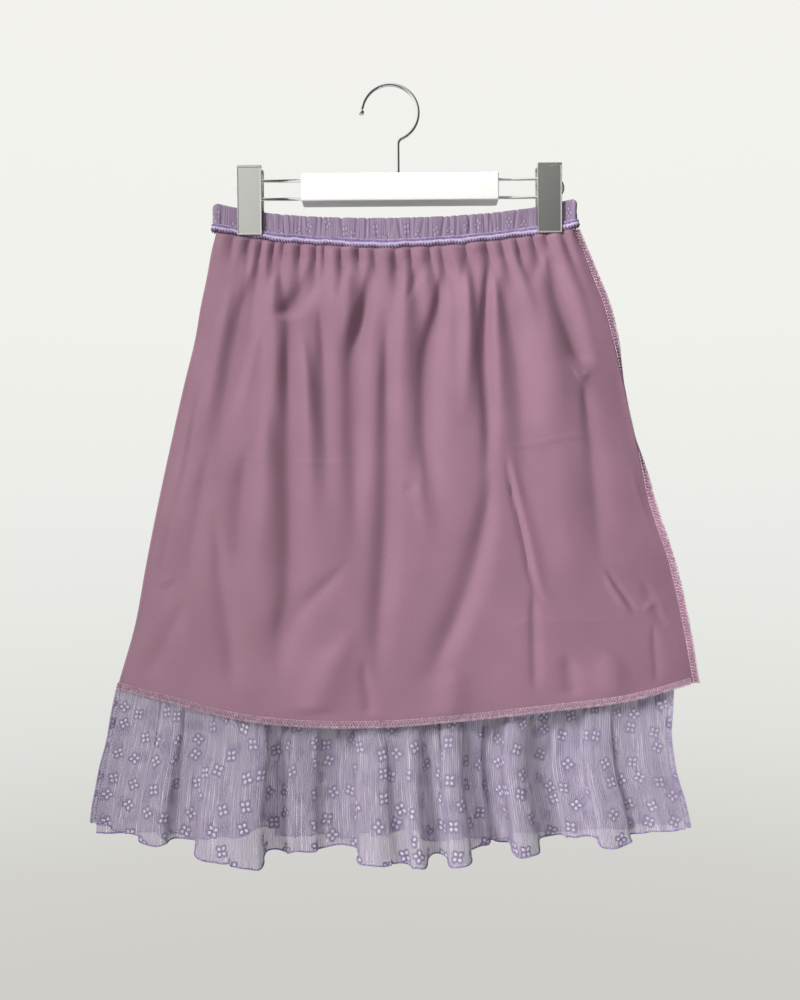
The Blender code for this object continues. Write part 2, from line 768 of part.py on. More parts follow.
def build_ruffle(sheer, thread, collection):
    """The ruffle's two halves, their rolled hems and their side seams."""
    steps = len(RUFFLE_WAVES) - 1
    columns = COLUMNS_PER_WAVE * steps
    rows = len(RUFFLE_SHARES) - 1
    proud = (HEM_ROLL - OUTER_WALL) / 2

    def front(column, row):
        return ruffle_point(-1, RUFFLE_WAVES, column / COLUMNS_PER_WAVE, RUFFLE_SHARES[row])

    def back(column, row):
        return ruffle_point(1, BACK_WAVES, steps - column / COLUMNS_PER_WAVE, RUFFLE_SHARES[row])

    def front_hem(column, row):
        fall = HEM_FALL + HEM_ROLL * row
        return ruffle_point(-1, RUFFLE_WAVES, column / COLUMNS_PER_WAVE, 1.0, proud, fall)

    def back_hem(column, row):
        fall = HEM_FALL + HEM_ROLL * row
        return ruffle_point(1, BACK_WAVES, steps - column / COLUMNS_PER_WAVE, 1.0, proud, fall)

    def left_seam(column, row):
        return ruffle_allowance_point(column, row, 0)

    def right_seam(column, row):
        return ruffle_allowance_point(column, row, 1)

    add_cloth("ruffle_front", columns, rows, front, OUTER_WALL, sheer, collection)
    add_cloth("ruffle_back", columns, rows, back, OUTER_WALL, sheer, collection)
    add_cloth("ruffle_hem_front", columns, 1, front_hem, HEM_ROLL, thread, collection)
    add_cloth("ruffle_hem_back", columns, 1, back_hem, HEM_ROLL, thread, collection)
    for name, place in (("ruffle_seam_left", left_seam), ("ruffle_seam_right", right_seam)):
        add_cloth(name, 1, rows - RUFFLE_ALLOWANCE_ROW, place, ALLOWANCE_WALL, thread, collection)


def build_waist(sheer, thread, collection):
    """The elastic band, and the gathered seam that joins it to the panels."""
    band_columns = 2 * (2 * RUCHES + TURN_COLUMNS)
    seam_columns = 2 * (RUCHES + TURN_COLUMNS)
    rows = len(BAND_SHARES) - 1
    add_cloth("waistband", band_columns, rows, band_point, BAND_WALL, sheer, collection, ring=True)
    add_cloth("waist_seam", seam_columns, 1, waist_seam_point, SEAM_WALL, thread, collection, ring=True)


def build_clip(side, x, steel, collection):
    """One clip: two plates that lean together over the waistband, and the hinge between them."""
    half_height = PLATE_SIZE[2] / 2
    hinge_z = (RAIL_HIGH + RAIL_LOW) / 2
    hinge_rise = hinge_z - (PLATE_MIDDLE_Z - half_height)
    spread = HINGE_SIZE[1] / 2 + GAP - JAW_HALF_GAP
    lean = math.degrees(math.atan(spread / hinge_rise))
    offset = JAW_HALF_GAP + spread * half_height / hinge_rise + PLATE_SIZE[1] / 2
    for name, way in (("front", -1), ("back", 1)):
        centre = (x, way * offset, PLATE_MIDDLE_Z)
        add_box(f"clip_{side}_{name}", PLATE_SIZE, centre, PLATE_EDGE, steel, collection, way * lean)
    inward = HINGE_SHIFT if x < BLOCK_CENTRE[0] else -HINGE_SHIFT
    hinge = (x + inward, 0.0, hinge_z)
    add_box(f"clip_{side}_hinge", HINGE_SIZE, hinge, HINGE_EDGE, steel, collection)


def build_hanger(chrome, lacquer, steel, collection):
    """The hook, the block, the two wire rails and the two clips."""
    add_wire("hanger_hook", hook_points(), WIRE, chrome, collection)
    add_box("hanger_block", BLOCK_SIZE, BLOCK_CENTRE, BLOCK_EDGE, lacquer, collection)
    for side, end_x, way, clip_x in zip(("left", "right"), RAIL_ENDS, (-1, 1), CLIP_CENTRES):
        block_x = BLOCK_CENTRE[0] + way * BLOCK_SIZE[0] / 2
        add_wire(f"hanger_rail_{side}", rail_points(end_x, block_x), RAIL_WIRE, chrome, collection)
        build_clip(side, clip_x, steel, collection)


def main():
    for old in list(bpy.data.objects):
        bpy.data.objects.remove(old, do_unlink=True)
    collection = bpy.data.collections.new("ruffle_skirt")
    bpy.context.scene.collection.children.link(collection)
    sheer, thread = material(SHEER), material(THREAD)
    build_waist(sheer, thread, collection)
    build_lining(material(SATIN), collection)
    build_outer(sheer, collection)
    build_ruffle(sheer, thread, collection)
    build_hanger(material(CHROME), material(LACQUER), material(STEEL), collection)


main()
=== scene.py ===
"""The looks of a gathered ruffle skirt, turned inside out and held on a clip hanger.

Sizes and tables are in millimetres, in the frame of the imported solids: +Z up, the front towards -Y,
and the origin at the inner top of the hanger's hook. Each sheet of cloth is a grid, moved by the
formulas that shaped its solid, with creases added as soft troughs and ridges.
"""

from __future__ import annotations

import logging
import math
from dataclasses import dataclass, field
from enum import Enum
from typing import Callable, NamedTuple, Sequence

import bpy
import numpy as np
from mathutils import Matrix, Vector

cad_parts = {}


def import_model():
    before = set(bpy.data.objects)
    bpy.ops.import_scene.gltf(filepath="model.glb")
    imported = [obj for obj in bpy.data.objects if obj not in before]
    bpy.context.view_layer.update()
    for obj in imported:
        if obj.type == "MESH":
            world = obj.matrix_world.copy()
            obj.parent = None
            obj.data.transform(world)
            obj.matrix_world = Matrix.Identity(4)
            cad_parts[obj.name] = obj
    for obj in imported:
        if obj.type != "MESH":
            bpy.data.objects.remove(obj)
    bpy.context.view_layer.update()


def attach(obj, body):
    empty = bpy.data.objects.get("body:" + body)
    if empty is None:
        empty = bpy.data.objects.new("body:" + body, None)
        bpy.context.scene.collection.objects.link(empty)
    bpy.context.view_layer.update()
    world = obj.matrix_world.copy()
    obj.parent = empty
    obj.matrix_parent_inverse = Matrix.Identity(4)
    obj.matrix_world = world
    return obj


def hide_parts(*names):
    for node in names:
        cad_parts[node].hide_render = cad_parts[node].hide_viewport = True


MM = 0.001
BODY = "root"
TROUGH_SHARPNESS = 1.7  # 2 is as round as a ridge, and 1 a sharp line
RIM_ANGLE = 60.0  # degrees: past it, an edge is sharp
SHADE_SHIFT = 0.5  # in half widths, from a crease's darkest or brightest line to its middle
LOG = logging.getLogger("skirt")

Array = np.ndarray
Values = float | Array
Pair = tuple[float, float]
Triple = tuple[float, float, float]
Cells = tuple[int, int]
Points = tuple[Array, Array, Array]
Place = Callable[[Array, Array], Points]
Surface = Callable[[Array, Array, Array], Points]
Step = Callable[[], object]
Socket = bpy.types.NodeSocket
Node = bpy.types.Node
Tree = bpy.types.NodeTree
Piece = bpy.types.Object
Finish = bpy.types.Material


class Side(Enum):
    """The two faces of the skirt, by the sign of Y."""

    FRONT = -1
    BACK = 1


class Slot(Enum):
    """The record's material slots."""

    SATIN = "satin"
    SHEER = "sheer"
    OVERLOCK = "overlock"
    CHROME = "chrome_wire"
    CLIP = "clip_steel"
    LACQUER = "lacquer"


class Edge(NamedTuple):
    """Where a tube of cloth has its two side edges, at one height."""

    z: float
    left: float
    right: float


class Hem(NamedTuple):
    """The lining's hem: across runs from -1 at the left edge to 1 at the right."""

    across: float
    z: float


class Depth(NamedTuple):
    """Half the body's depth in the middle, at one height."""

    z: float
    half: float


class Gather(NamedTuple):
    """A gather below the waist seam: the notch where it starts, and the ridge to its right."""

    notch: float
    relief: float


class Fade(NamedTuple):
    """How strong the gathers are at a drop below the waist seam."""

    drop: float
    strength: float


class Crease(NamedTuple):
    """A soft trough (negative height) or ridge of the lining, through places given as (x, z).

    Left and right are its half widths, or above and below for one that runs across the cloth.
    Top and foot are the shares of its length over which it fades at its two ends, and it starts
    with a neck: a share of its width.
    """

    height: float
    left: float
    right: float
    path: tuple[Pair, ...]
    top: float = 0.2
    foot: float = 0.4
    neck: float = 0.45


class Wave(NamedTuple):
    """A ridge or a valley of the ruffle at its hem, as in its solid.

    Over is how upright the cloth turns towards the next row, and past 1 it folds over.
    """

    x: float
    z: float
    inset: float
    flare: float
    over: float = 0.85


class Turn(NamedTuple):
    """How far, in degrees, the right seam allowance is turned to the back at one height."""

    z: float
    angle: float


class Spread(NamedTuple):
    """The range of a random draw."""

    low: float
    high: float

    def draw(self, source: np.random.Generator) -> float:
        """One value of the range."""
        return source.uniform(self.low, self.high)


class Swing(NamedTuple):
    """One part of an uneven wave: its height, its rate in radians and where it starts."""

    height: float
    rate: float
    start: float = 0.0


def tabled(kind: type, *rows: tuple) -> tuple:
    """A table whose rows are all of one kind."""
    return tuple(kind(*row) for row in rows)


OUTWARDS = ((0.0, -1.0, 0.0), (0.0, 1.0, 0.0))  # away from the front, and away from the back

LINING_EDGES = tabled(
    Edge,
    (-134, -162.0, 168.5), (-149, -166.0, 175.0), (-177, -171.5, 186.0), (-205, -177.5, 197.0),
    (-233, -182.5, 204.0), (-275, -193.0, 214.0), (-331, -206.0, 226.0), (-387, -218.5, 237.0),
    (-443, -230.0, 255.0), (-498, -240.5, 267.0), (-557, -257.5, 277.0), (-600, -268.0, 285.0),
)

OUTER_EDGES = tabled(
    Edge,
    (-134, -159.0, 165.0), (-250, -182.0, 200.0), (-400, -215.0, 232.0), (-497, -234.0, 248.0),
    (-554, -252.0, 254.0), (-610, -263.5, 252.0), (-633, -269.5, 254.5), (-666, -276.0, 263.5),
    (-700, -280.0, 271.0),
)

LINING_HEM = tabled(
    Hem,
    (-1.0, -557.5), (-0.79, -567.0), (-0.6, -577.5), (-0.07, -585.0), (0.2, -580.0), (0.5, -573.5),
    (0.73, -569.0), (1.0, -557.0),
)

BODY_DEPTHS = tabled(
    Depth,
    (-134, 9.0), (-200, 14.0), (-300, 20.0), (-450, 26.0), (-585, 31.0), (-710, 36.0),
)

GATHERS = tabled(
    Gather,
    (-160.0, 2.0), (-146.0, 3.4), (-131.0, 2.6), (-120.0, 3.6), (-108.5, 2.2), (-99.5, 4.4), (-84.0, 3.6),
    (-70.0, 2.2), (-62.0, 3.8), (-47.0, 4.6), (-32.0, 3.4), (-17.5, 4.6), (1.0, 3.4), (14.0, 4.2),
    (31.0, 2.0), (42.0, 4.0), (64.0, 4.6), (83.0, 3.4), (98.0, 3.8), (112.5, 3.4), (127.5, 3.0),
    (140.5, 3.6), (157.0, 2.4),
)

GATHER_FADE = tabled(
    Fade,
    (-2.4, 0.0), (0.2, 0.35), (2.0, 1.05), (6.0, 1.4), (14.0, 1.15), (24.0, 0.7), (38.0, 0.32),
    (62.0, 0.12), (100.0, 0.03), (140.0, 0.0),
)

CREASES = tabled(
    Crease,
    # The long folds, from the left edge to the right
    (-9.5, 13, 18, ((-127, -160), (-136, -198), (-146, -236), (-157, -295), (-170, -360)), 0.12, 0.5),
    (4.0, 8, 9, ((-150, -175), (-160, -236), (-172, -300), (-184, -360)), 0.3, 0.5),
    (-4.5, 10, 14, ((-172, -330), (-184, -400), (-198, -475)), 0.3, 0.5),
    (-4.5, 11, 14, ((-138, -330), (-144, -400), (-150, -470)), 0.3, 0.5),
    (4.5, 10, 13, ((-118, -290), (-119, -380), (-126, -470)), 0.3, 0.5),
    (3.0, 6, 8, ((-120, -215), (-134, -273), (-147, -325)), 0.3, 0.5),
    (5.5, 11, 12, ((-114, -160), (-111, -245), (-110, -345)), 0.2, 0.6),
    (-9.0, 11, 11, ((-69, -160), (-78, -184), (-92, -205), (-106, -222)), 0.12, 0.22),
    (-8.0, 10, 14, ((-98, -200), (-99, -240), (-98, -330), (-97, -424), (-104, -520), (-110, -565)), 0.25,
     0.25),
    (-5.0, 8, 10, ((-71, -190), (-66, -245), (-64, -325), (-62, -410)), 0.35, 0.5),
    (4.5, 8, 9, ((-84, -225), (-80, -290), (-78, -420)), 0.3, 0.5),
    (5.0, 12, 10, ((-46, -165), (-46, -200), (-48, -262)), 0.2, 0.5),
    (-9.0, 10, 10, ((-22, -160), (-27, -205), (-36, -240), (-38, -300), (-38, -370), (-38, -450)), 0.1, 0.4),
    (-7.0, 9, 11, ((-9, -205), (-9, -300), (-10, -389), (-13, -445), (-18, -510), (-17, -570)), 0.25, 0.3),
    (4.5, 9, 10, ((8, -165), (7, -240), (4, -320)), 0.2, 0.6),
    (-8.5, 9, 13, ((44, -160), (40, -205), (31, -242), (26, -310), (27, -380), (30, -440)), 0.12, 0.5),
    (-3.5, 4, 4, ((52, -158), (60, -215)), 0.2, 0.5),
    (3.5, 9, 9, ((22, -330), (25, -400), (32, -440)), 0.4, 0.5),
    (4.0, 7, 6, ((67, -160), (66, -240), (62, -330)), 0.2, 0.5),
    (-8.5, 6, 7, ((87, -158), (82, -246), (84, -330), (78, -400)), 0.12, 0.5),
    (-7.0, 12, 10, ((84, -350), (76, -410), (62, -461), (40, -515), (18, -560)), 0.3, 0.3),
    (1.6, 7, 7, ((92, -170), (92, -250), (95, -330)), 0.2, 0.4),
    (-6.0, 12, 16, ((97, -156), (102, -210), (109, -264), (112, -330), (114, -400), (118, -470)), 0.12,
     0.7, 0.6),
    (6.5, 20, 20, ((128, -190), (136, -257), (142, -345)), 0.4, 0.5),
    (3.0, 18, 18, ((144, -320), (148, -400), (152, -490)), 0.4, 0.5),
    (-8.5, 9, 10, ((143, -158), (150, -195), (160, -228), (172, -266)), 0.1, 0.15),
    (2.2, 3, 4, ((162, -262), (173, -272), (185, -267)), 0.4, 0.4),
    (-4.5, 9, 14, ((171, -274), (177, -326), (182, -391), (188, -470)), 0.1, 0.5),
    (-2.8, 3, 2.5, ((98, -335), (105, -372), (116, -422), (126, -465), (139, -490)), 0.3, 0.3),
    (2.2, 3, 7, ((103, -335), (110, -372), (121, -422), (131, -465), (143, -490)), 0.3, 0.3),
    (-3.2, 3, 3, ((190, -446), (205, -468), (221, -491)), 0.3, 0.3),
    (2.6, 4, 5, ((187, -450), (201, -472), (216, -494)), 0.3, 0.3),
    # The bottom third
    (-4.0, 16, 11, ((-39, -430), (-75, -467), (-104, -496), (-119, -545)), 0.4, 0.4),
    (4.0, 16, 16, ((-42, -495), (-62, -530), (-80, -575)), 0.4, 0.1),
    (-4.0, 9, 10, ((-168, -385), (-162, -442), (-157, -478), (-146, -560)), 0.3, 0.2),
    (-4.0, 14, 10, ((-194, -470), (-217, -513), (-236, -548)), 0.4, 0.2),
    (-2.5, 4, 6, ((123, -455), (124, -560)), 0.3, 0.2),
    (-2.5, 3, 5, ((236, -497), (239, -556)), 0.2, 0.2),
    (-2.5, 6, 6, ((-31, -525), (-24, -575)), 0.3, 0.1),
    (3.5, 14, 14, ((48, -530), (42, -578)), 0.4, 0.1),
    (-3.0, 9, 9, ((150, -520), (157, -565)), 0.4, 0.2),
    (3.0, 14, 12, ((188, -520), (194, -565)), 0.4, 0.2),
    # Both side edges
    (-2.5, 3, 5, ((-178, -275), (-186, -316), (-194, -359), (-205, -405)), 0.2, 0.3),
    (2.2, 3, 3, ((-186, -300), (-194, -340), (-200, -372)), 0.3, 0.3),
    (2.0, 3, 4, ((-224, -452), (-212, -457), (-197, -451)), 0.3, 0.3),
    (-2.0, 3, 3, ((-222, -462), (-210, -465), (-198, -460)), 0.3, 0.3),
    (-2.2, 3, 4, ((-206, -400), (-212, -430), (-219, -455)), 0.3, 0.3),
    (-4.0, 7, 7, ((203, -250), (214, -300), (224, -345)), 0.3, 0.3),
    (3.6, 4, 6, ((216, -352), (229, -388), (243, -425)), 0.3, 0.3),
    (-3.4, 5, 4, ((222, -362), (236, -398), (249, -432)), 0.3, 0.3),
    (3.0, 4, 5, ((226, -490), (240, -481), (256, -496)), 0.3, 0.3),
    (-3.0, 6, 6, ((222, -455), (235, -477), (248, -508)), 0.3, 0.3),
    # Faint lines pressed across the cloth when it was packed, and the ruffle's seam behind it
    (0.7, 1.6, 1.6, ((-146, -343), (-103, -349), (-24, -352)), 0.1, 0.1),
    (0.6, 1.6, 1.6, ((-182, -360), (-155, -359)), 0.2, 0.2),
    (0.8, 1.6, 1.6, ((95, -341), (127, -335), (174, -328), (211, -339)), 0.1, 0.1),
    (0.7, 1.6, 1.6, ((92, -495), (214, -496)), 0.1, 0.1),
    (-1.0, 5, 5, ((6, -376), (25, -373)), 0.4, 0.4),
)

RUFFLE_WAVES = tabled(
    Wave,
    (-280.0, -683.0, 0.0, 0.0), (-250.0, -690.0, 0.05, 3.0), (-222.0, -698.0, 0.0, 8.0, 1.0),
    (-197.0, -694.0, 0.6, 0.0, 1.25), (-166.0, -706.0, 0.0, 9.0), (-128.0, -710.0, 0.0, 11.0, 1.5),
    (-110.0, -706.0, 0.8, 0.0), (-90.0, -705.0, 0.5, 0.0, 1.0), (-53.0, -703.0, 0.88, 0.0, 1.3),
    (-14.0, -707.0, 0.0, 6.0), (8.0, -709.0, 0.2, 2.0), (20.0, -710.0, 0.0, 7.0),
    (37.0, -706.0, 0.45, 0.0, 1.0), (57.0, -709.0, 0.0, 8.0, 1.35), (78.0, -701.0, 0.6, 0.0),
    (96.0, -698.0, 0.9, 0.0, 1.3), (114.0, -702.0, 0.0, 9.0), (147.0, -697.0, 1.0, 0.0),
    (172.0, -698.0, 0.95, 0.0, 1.2), (200.0, -700.0, 0.0, 9.0, 1.25), (231.0, -693.0, 0.4, 0.0),
    (257.0, -693.0, 0.0, 3.0), (271.0, -692.0, 0.0, 0.0),
)

ALLOWANCE_TURNS = tabled(
    Turn,
    (-140, 10.0), (-230, 14.0), (-270, 62.0), (-335, 66.0), (-370, 14.0), (-560, 6.0),
)


def lerp(start: Values, end: Values, share: Values) -> Values:
    """The value a share of the way from start to end."""
    return start + (end - start) * share


def smooth(value: Values) -> Values:
    """A soft step from 0 to 1."""
    value = np.clip(value, 0.0, 1.0)
    return value * value * (3 - 2 * value)


def sway(at: Array, swings: Sequence[Swing]) -> Array:
    """The sum of an uneven wave's parts at places along it."""
    return sum(part.height * np.sin(part.rate * at + part.start) for part in swings)


def soft_curve(at: Array, keys: Array, values: Array) -> Array:
    """A smooth curve through points, flat outside them.

    Args:
        at: where it is read.
        keys: the points' places, rising.
        values: the points' values.

    Returns:
        The curve's values.
    """
    slopes = np.gradient(values, keys)
    low = np.clip(np.searchsorted(keys, at) - 1, 0, len(keys) - 2)
    span = keys[low + 1] - keys[low]
    t = np.clip((at - keys[low]) / span, 0.0, 1.0)
    rise = (3 - 2 * t) * t * t
    lead = t * (1 - t) ** 2 * span * slopes[low]
    tail = t * t * (1 - t) * span * slopes[low + 1]
    return lerp(values[low], values[low + 1], rise) + lead - tail


def read(rows: Sequence[NamedTuple], key: str, name: str, at: Values) -> Array:
    """A table's column where its key column has the value at, on a smooth curve."""
    keys, values = np.array(sorted((getattr(row, key), getattr(row, name)) for row in rows), float).T
    return soft_curve(np.asarray(at, float), keys, values)


def crease_relief(x: Array, z: Array, creases: Sequence[Crease]) -> Array:
    """How far creases move the cloth out, at places on it.

    The table says where a crease looks darkest or brightest. Light from the left shades a trough's
    left flank and lights a ridge's left flank, so the trough lies to the right of its dark line.

    Args:
        x: the places' X.
        z: the places' Z.
        creases: the troughs and ridges.

    Returns:
        The sum of their heights at each place.
    """
    total = np.zeros(np.broadcast(x, z).shape)
    for crease in creases:
        path = np.array(crease.path, float)
        steep = np.ptp(path[:, 1]) >= np.ptp(path[:, 0])
        along, across = (-z, x) if steep else (x, -z)
        keys, middles = (-path[:, 1], path[:, 0]) if steep else (path[:, 0], -path[:, 1])
        share = (along - keys[0]) / (keys[-1] - keys[0])
        ends = smooth(share / crease.top) * smooth((1 - share) / crease.foot)
        away = across - soft_curve(along, keys, middles) - (SHADE_SHIFT * crease.left if steep else 0.0)
        width = np.where(away < 0, crease.left, crease.right) * lerp(crease.neck, 1.0, smooth(share * 2.0))
        sharpness = TROUGH_SHARPNESS if crease.height < 0 else 2.0
        total += crease.height * ends * np.exp(-(np.abs(away / width) ** sharpness))
    return total


@dataclass(frozen=True)
class SkirtForm:
    """The skirt's form: the driving sizes from which its solids were built."""

    gap: float = 0.3
    band_left: float = -164.0
    band_right: float = 172.5
    band_top_low: float = -126.0
    band_top_rise: float = 19.0
    band_corner: float = 5.0
    seam_low: float = -153.5
    seam_rise: float = 19.5
    seam_power: float = 1.6
    sag_span: float = 168.0
    seam_cover: float = 2.4
    seam_wall: float = 2.0
    seam_steps: int = 4
    pinch: float = 2.95
    band_open: float = 9.0
    band_open_span: float = 122.0
    band_open_middle: float = 8.5
    band_open_power: float = 1.5
    clip_centres: Pair = (-130.0, 147.0)
    clip_reach: float = 15.0
    top_ease: float = 70.0
    lens_power: float = 2.2
    edge_hold: int = 6
    left_turn: float = 4.0
    right_close: float = 0.7
    outer_close: float = 1.5
    layer_clear: float = 1.6
    lining_wall: float = 1.3
    lining_relief: float = 6.4
    relief_floor: float = -1.2
    relief_knee: float = 1.6
    relief_ease: float = 60.0
    crease_gain_top: float = 1.2
    crease_gain_low: float = 0.92
    crease_gain_from: float = -210.0
    crease_gain_drop: float = 170.0
    back_inset: float = 0.6
    lining_length: float = 431.0
    wrap_share: float = 0.055
    notch_roundness: float = 0.36
    gather_roundness: float = 0.9
    notch_drop: float = 34.0
    ruffle_top: float = -497.0
    inset_haste: float = 1.3
    flare_top: float = -575.0
    flare_drop: float = 120.0
    allowance: float = 7.0
    ruffle_allowance: float = 5.5
    hem_spread: float = 1.6
    hem_fall: tuple[Swing, ...] = (Swing(0.8, 5.1), Swing(0.5, 12.3, 1.0))
    ripple: float = 0.7
    ripple_rate: float = 15.7
    ripple_wander: tuple[Swing, ...] = (Swing(3.0, 1.3),)
    ripple_power: float = 8.0
    least_depth: float = 0.4

    @property
    def middle_sum(self) -> float:
        """Twice the waistband's middle: X of the back is this less X of the front."""
        return self.band_left + self.band_right

    def seam_z(self, x: Values) -> Values:
        """The lower line of the waist seam, which sags between the clips."""
        return self.seam_low + self.seam_rise * np.abs(x / self.sag_span) ** self.seam_power

    def band_top_z(self, x: Values) -> Values:
        """The waistband's top edge, rounded at its two ends.

        Args:
            x: places across.

        Returns:
            Heights.
        """
        end = np.minimum(x - self.band_left, self.band_right - x)
        share = np.clip(1 - end / self.band_corner, 0.0, 1.0)
        round_off = self.band_corner * (1 - np.sqrt(1 - share * share))
        return self.band_top_low + self.band_top_rise * (x / self.sag_span) ** 2 - round_off

    def band_depth(self, x: Values) -> Values:
        """Half the waistband's depth: pressed flat at the clips, a little open between them."""
        away = (x - self.band_open_middle) / self.band_open_span
        return self.pinch + self.band_open * np.maximum(0.0, 1 - away * away) ** self.band_open_power

    def clipped(self, x: Values) -> Values:
        """1 under a clip, 0 well away from it."""
        nearest = np.minimum(*(np.abs(x - centre) for centre in self.clip_centres))
        return 1 - smooth((nearest - self.clip_reach) / self.clip_reach)

    def below_seam(self, x: Values, z: Values, reach: float) -> Values:
        """A soft step from 0 at the waist seam to 1 at a drop of reach."""
        return smooth((self.seam_z(x) - z) / reach)

    def edges(self, table: Sequence[Edge], z: Values) -> tuple[Array, Array]:
        """X of a tube's two side edges at heights z."""
        return read(table, "z", "left", z), read(table, "z", "right", z)

    def body_depth(self, across: Values, x: Values, z: Values) -> Values:
        """Half the depth of the lining in its valleys, at places across it from -1 to 1.

        Args:
            across: places across, from -1 at the left edge to 1 at the right.
            x: places across.
            z: heights.

        Returns:
            Half depths.
        """
        close = lerp(self.left_turn, self.right_close, smooth((across + 1) / 2))
        middle = read(BODY_DEPTHS, "z", "half", z)
        body = close + middle * (1 - np.abs(across) ** self.lens_power)
        return lerp(self.band_depth(x), body, self.below_seam(x, z, self.top_ease))

    def depth_inside(self, x: Values, z: Values) -> Values:
        """Half the depth left for what hangs inside the lining.

        Args:
            x: places across, in millimetres.
            z: heights.

        Returns:
            Half depths.
        """
        left, right = self.edges(LINING_EDGES, z)
        across = np.clip(2 * (x - left) / (right - left) - 1, -1.0, 1.0)
        clear = lerp(self.gap, self.layer_clear, self.below_seam(x, z, self.top_ease))
        return self.body_depth(across, x, z) - self.lining_wall - clear

    def seam_over(self, table: Sequence[Edge], across: Values, inset: float) -> Values:
        """Height of the waist seam above places across a panel whose edges slant out below it.

        Args:
            table: the tube's edges.
            across: places across, from -1 at the left edge to 1 at the right.
            inset: how far the left edge is moved in.

        Returns:
            Heights.
        """
        z = np.full(np.shape(across), self.seam_low)
        for _ in range(self.seam_steps):
            left, right = self.edges(table, z)
            z = self.seam_z(lerp(left + inset, right, (across + 1) / 2))
        return z

    def ring(self, travel: Values, lift: Values) -> tuple[Array, Array]:
        """X and Y round the waist, anticlockwise from above.

        Args:
            travel: distance from the front's left end.
            lift: distance out from the band.

        Returns:
            X and Y.
        """
        left, right = self.band_left + self.pinch, self.band_right - self.pinch
        face, turn = right - left, math.pi * self.pinch
        travel = np.mod(travel, 2 * (face + turn))
        on = [travel <= face, travel < face + turn, travel <= 2 * face + turn]
        radius = self.pinch + lift
        turn_right = (travel - face) / self.pinch - math.pi / 2
        turn_left = (travel - 2 * face - turn) / self.pinch + math.pi / 2
        front, back = left + travel, right - (travel - face - turn)
        right_x, left_x = right + radius * np.cos(turn_right), left + radius * np.cos(turn_left)
        x = np.select(on, [front, right_x, back], left_x)
        depth_front, depth_back = self.band_depth(front) + lift, self.band_depth(back) + lift
        y = np.select(on, [-depth_front, radius * np.sin(turn_right), depth_back], radius * np.sin(turn_left))
        return x, y

    @property
    def ring_length(self) -> float:
        """The distance round the waist."""
        return 2 * (self.band_right - self.band_left - 2 * self.pinch + math.pi * self.pinch)


@dataclass(frozen=True)
class Tucks:
    """Small creases that fan out from the notches between gathers."""

    seed: int
    least: int = 2
    most: int = 4
    offset: Spread = Spread(-5.0, 5.0)
    length: Spread = Spread(14.0, 30.0)
    stretch: Spread = Spread(1.0, 2.4)
    lean: Spread = Spread(-0.34, 0.34)
    height: Spread = Spread(-5.5, -2.2)
    width: Spread = Spread(2.6, 6.5)
    above_seam: float = 3.0
    bend: float = 2.6
    ends: Triple = (0.08, 0.75, 0.28)  # top, foot and neck

    def fan(self, form: SkirtForm, gathers: Sequence[Gather]) -> tuple[Crease, ...]:
        """A few creases for each notch.

        Args:
            form: the skirt's form.
            gathers: the gathers of this side.

        Returns:
            The creases.
        """
        source = np.random.default_rng(self.seed)
        made = []
        for row in gathers[1:]:
            for _ in range(int(source.integers(self.least, self.most + 1))):
                x = row.notch + self.offset.draw(source)
                top = float(form.seam_z(x)) + self.above_seam
                length = self.length.draw(source) * self.stretch.draw(source)
                lean = self.lean.draw(source) * length
                height, width = self.height.draw(source), self.width.draw(source)
                path = ((x, top), (x + lean / self.bend, top - length / 2), (x + lean, top - length))
                made.append(Crease(height, width, width, path, *self.ends))
        return tuple(made)


@dataclass(frozen=True)
class PanelTables:
    """The gathers, creases and ruffle waves of one side of the skirt."""

    gathers: tuple[Gather, ...]
    creases: tuple[Crease, ...]
    waves: tuple[Wave, ...]

    @classmethod
    def front(cls, form: SkirtForm) -> PanelTables:
        """The front's tables, with small loose creases added to those that stand out."""
        return cls(GATHERS, CREASES + Tucks(seed=5).fan(form, GATHERS), RUFFLE_WAVES)

    @classmethod
    def back(cls, form: SkirtForm) -> PanelTables:
        """The back's tables: like the front's, as seen from behind.

        Args:
            form: the skirt's form.

        Returns:
            The tables.
        """
        total = form.middle_sum
        rows = GATHERS[::-1]
        notches = [form.band_left] + [total - row.notch for row in rows[:-1]]
        gathers = tuple(Gather(notch, row.relief) for notch, row in zip(notches, rows))
        creases = tuple(cls.mirrored(crease, total) for crease in CREASES)
        ends = RUFFLE_WAVES[0].x + RUFFLE_WAVES[-1].x
        rows = RUFFLE_WAVES[::-1]
        overs = [row.over for row in rows[1:]] + [rows[-1].over]
        waves = tuple(row._replace(x=ends - row.x, over=over) for row, over in zip(rows, overs))
        return cls(gathers, creases + Tucks(seed=6).fan(form, gathers), waves)

    @staticmethod
    def mirrored(crease: Crease, total: float) -> Crease:
        """A crease as seen from behind, with its points still in order from its start.

        Args:
            crease: a crease of the front.
            total: twice the middle's X.

        Returns:
            The crease.
        """
        path = tuple((total - x, z) for x, z in crease.path)
        steep = abs(path[-1][1] - path[0][1]) >= abs(path[-1][0] - path[0][0])
        if steep:
            return crease._replace(path=path, left=crease.right, right=crease.left)
        return crease._replace(path=path[::-1])


class Pleat(NamedTuple):
    """A small soft crease of the ruffle, at a phase, that fades towards the hem."""

    phase: float
    width: float
    height: float
    reach: float


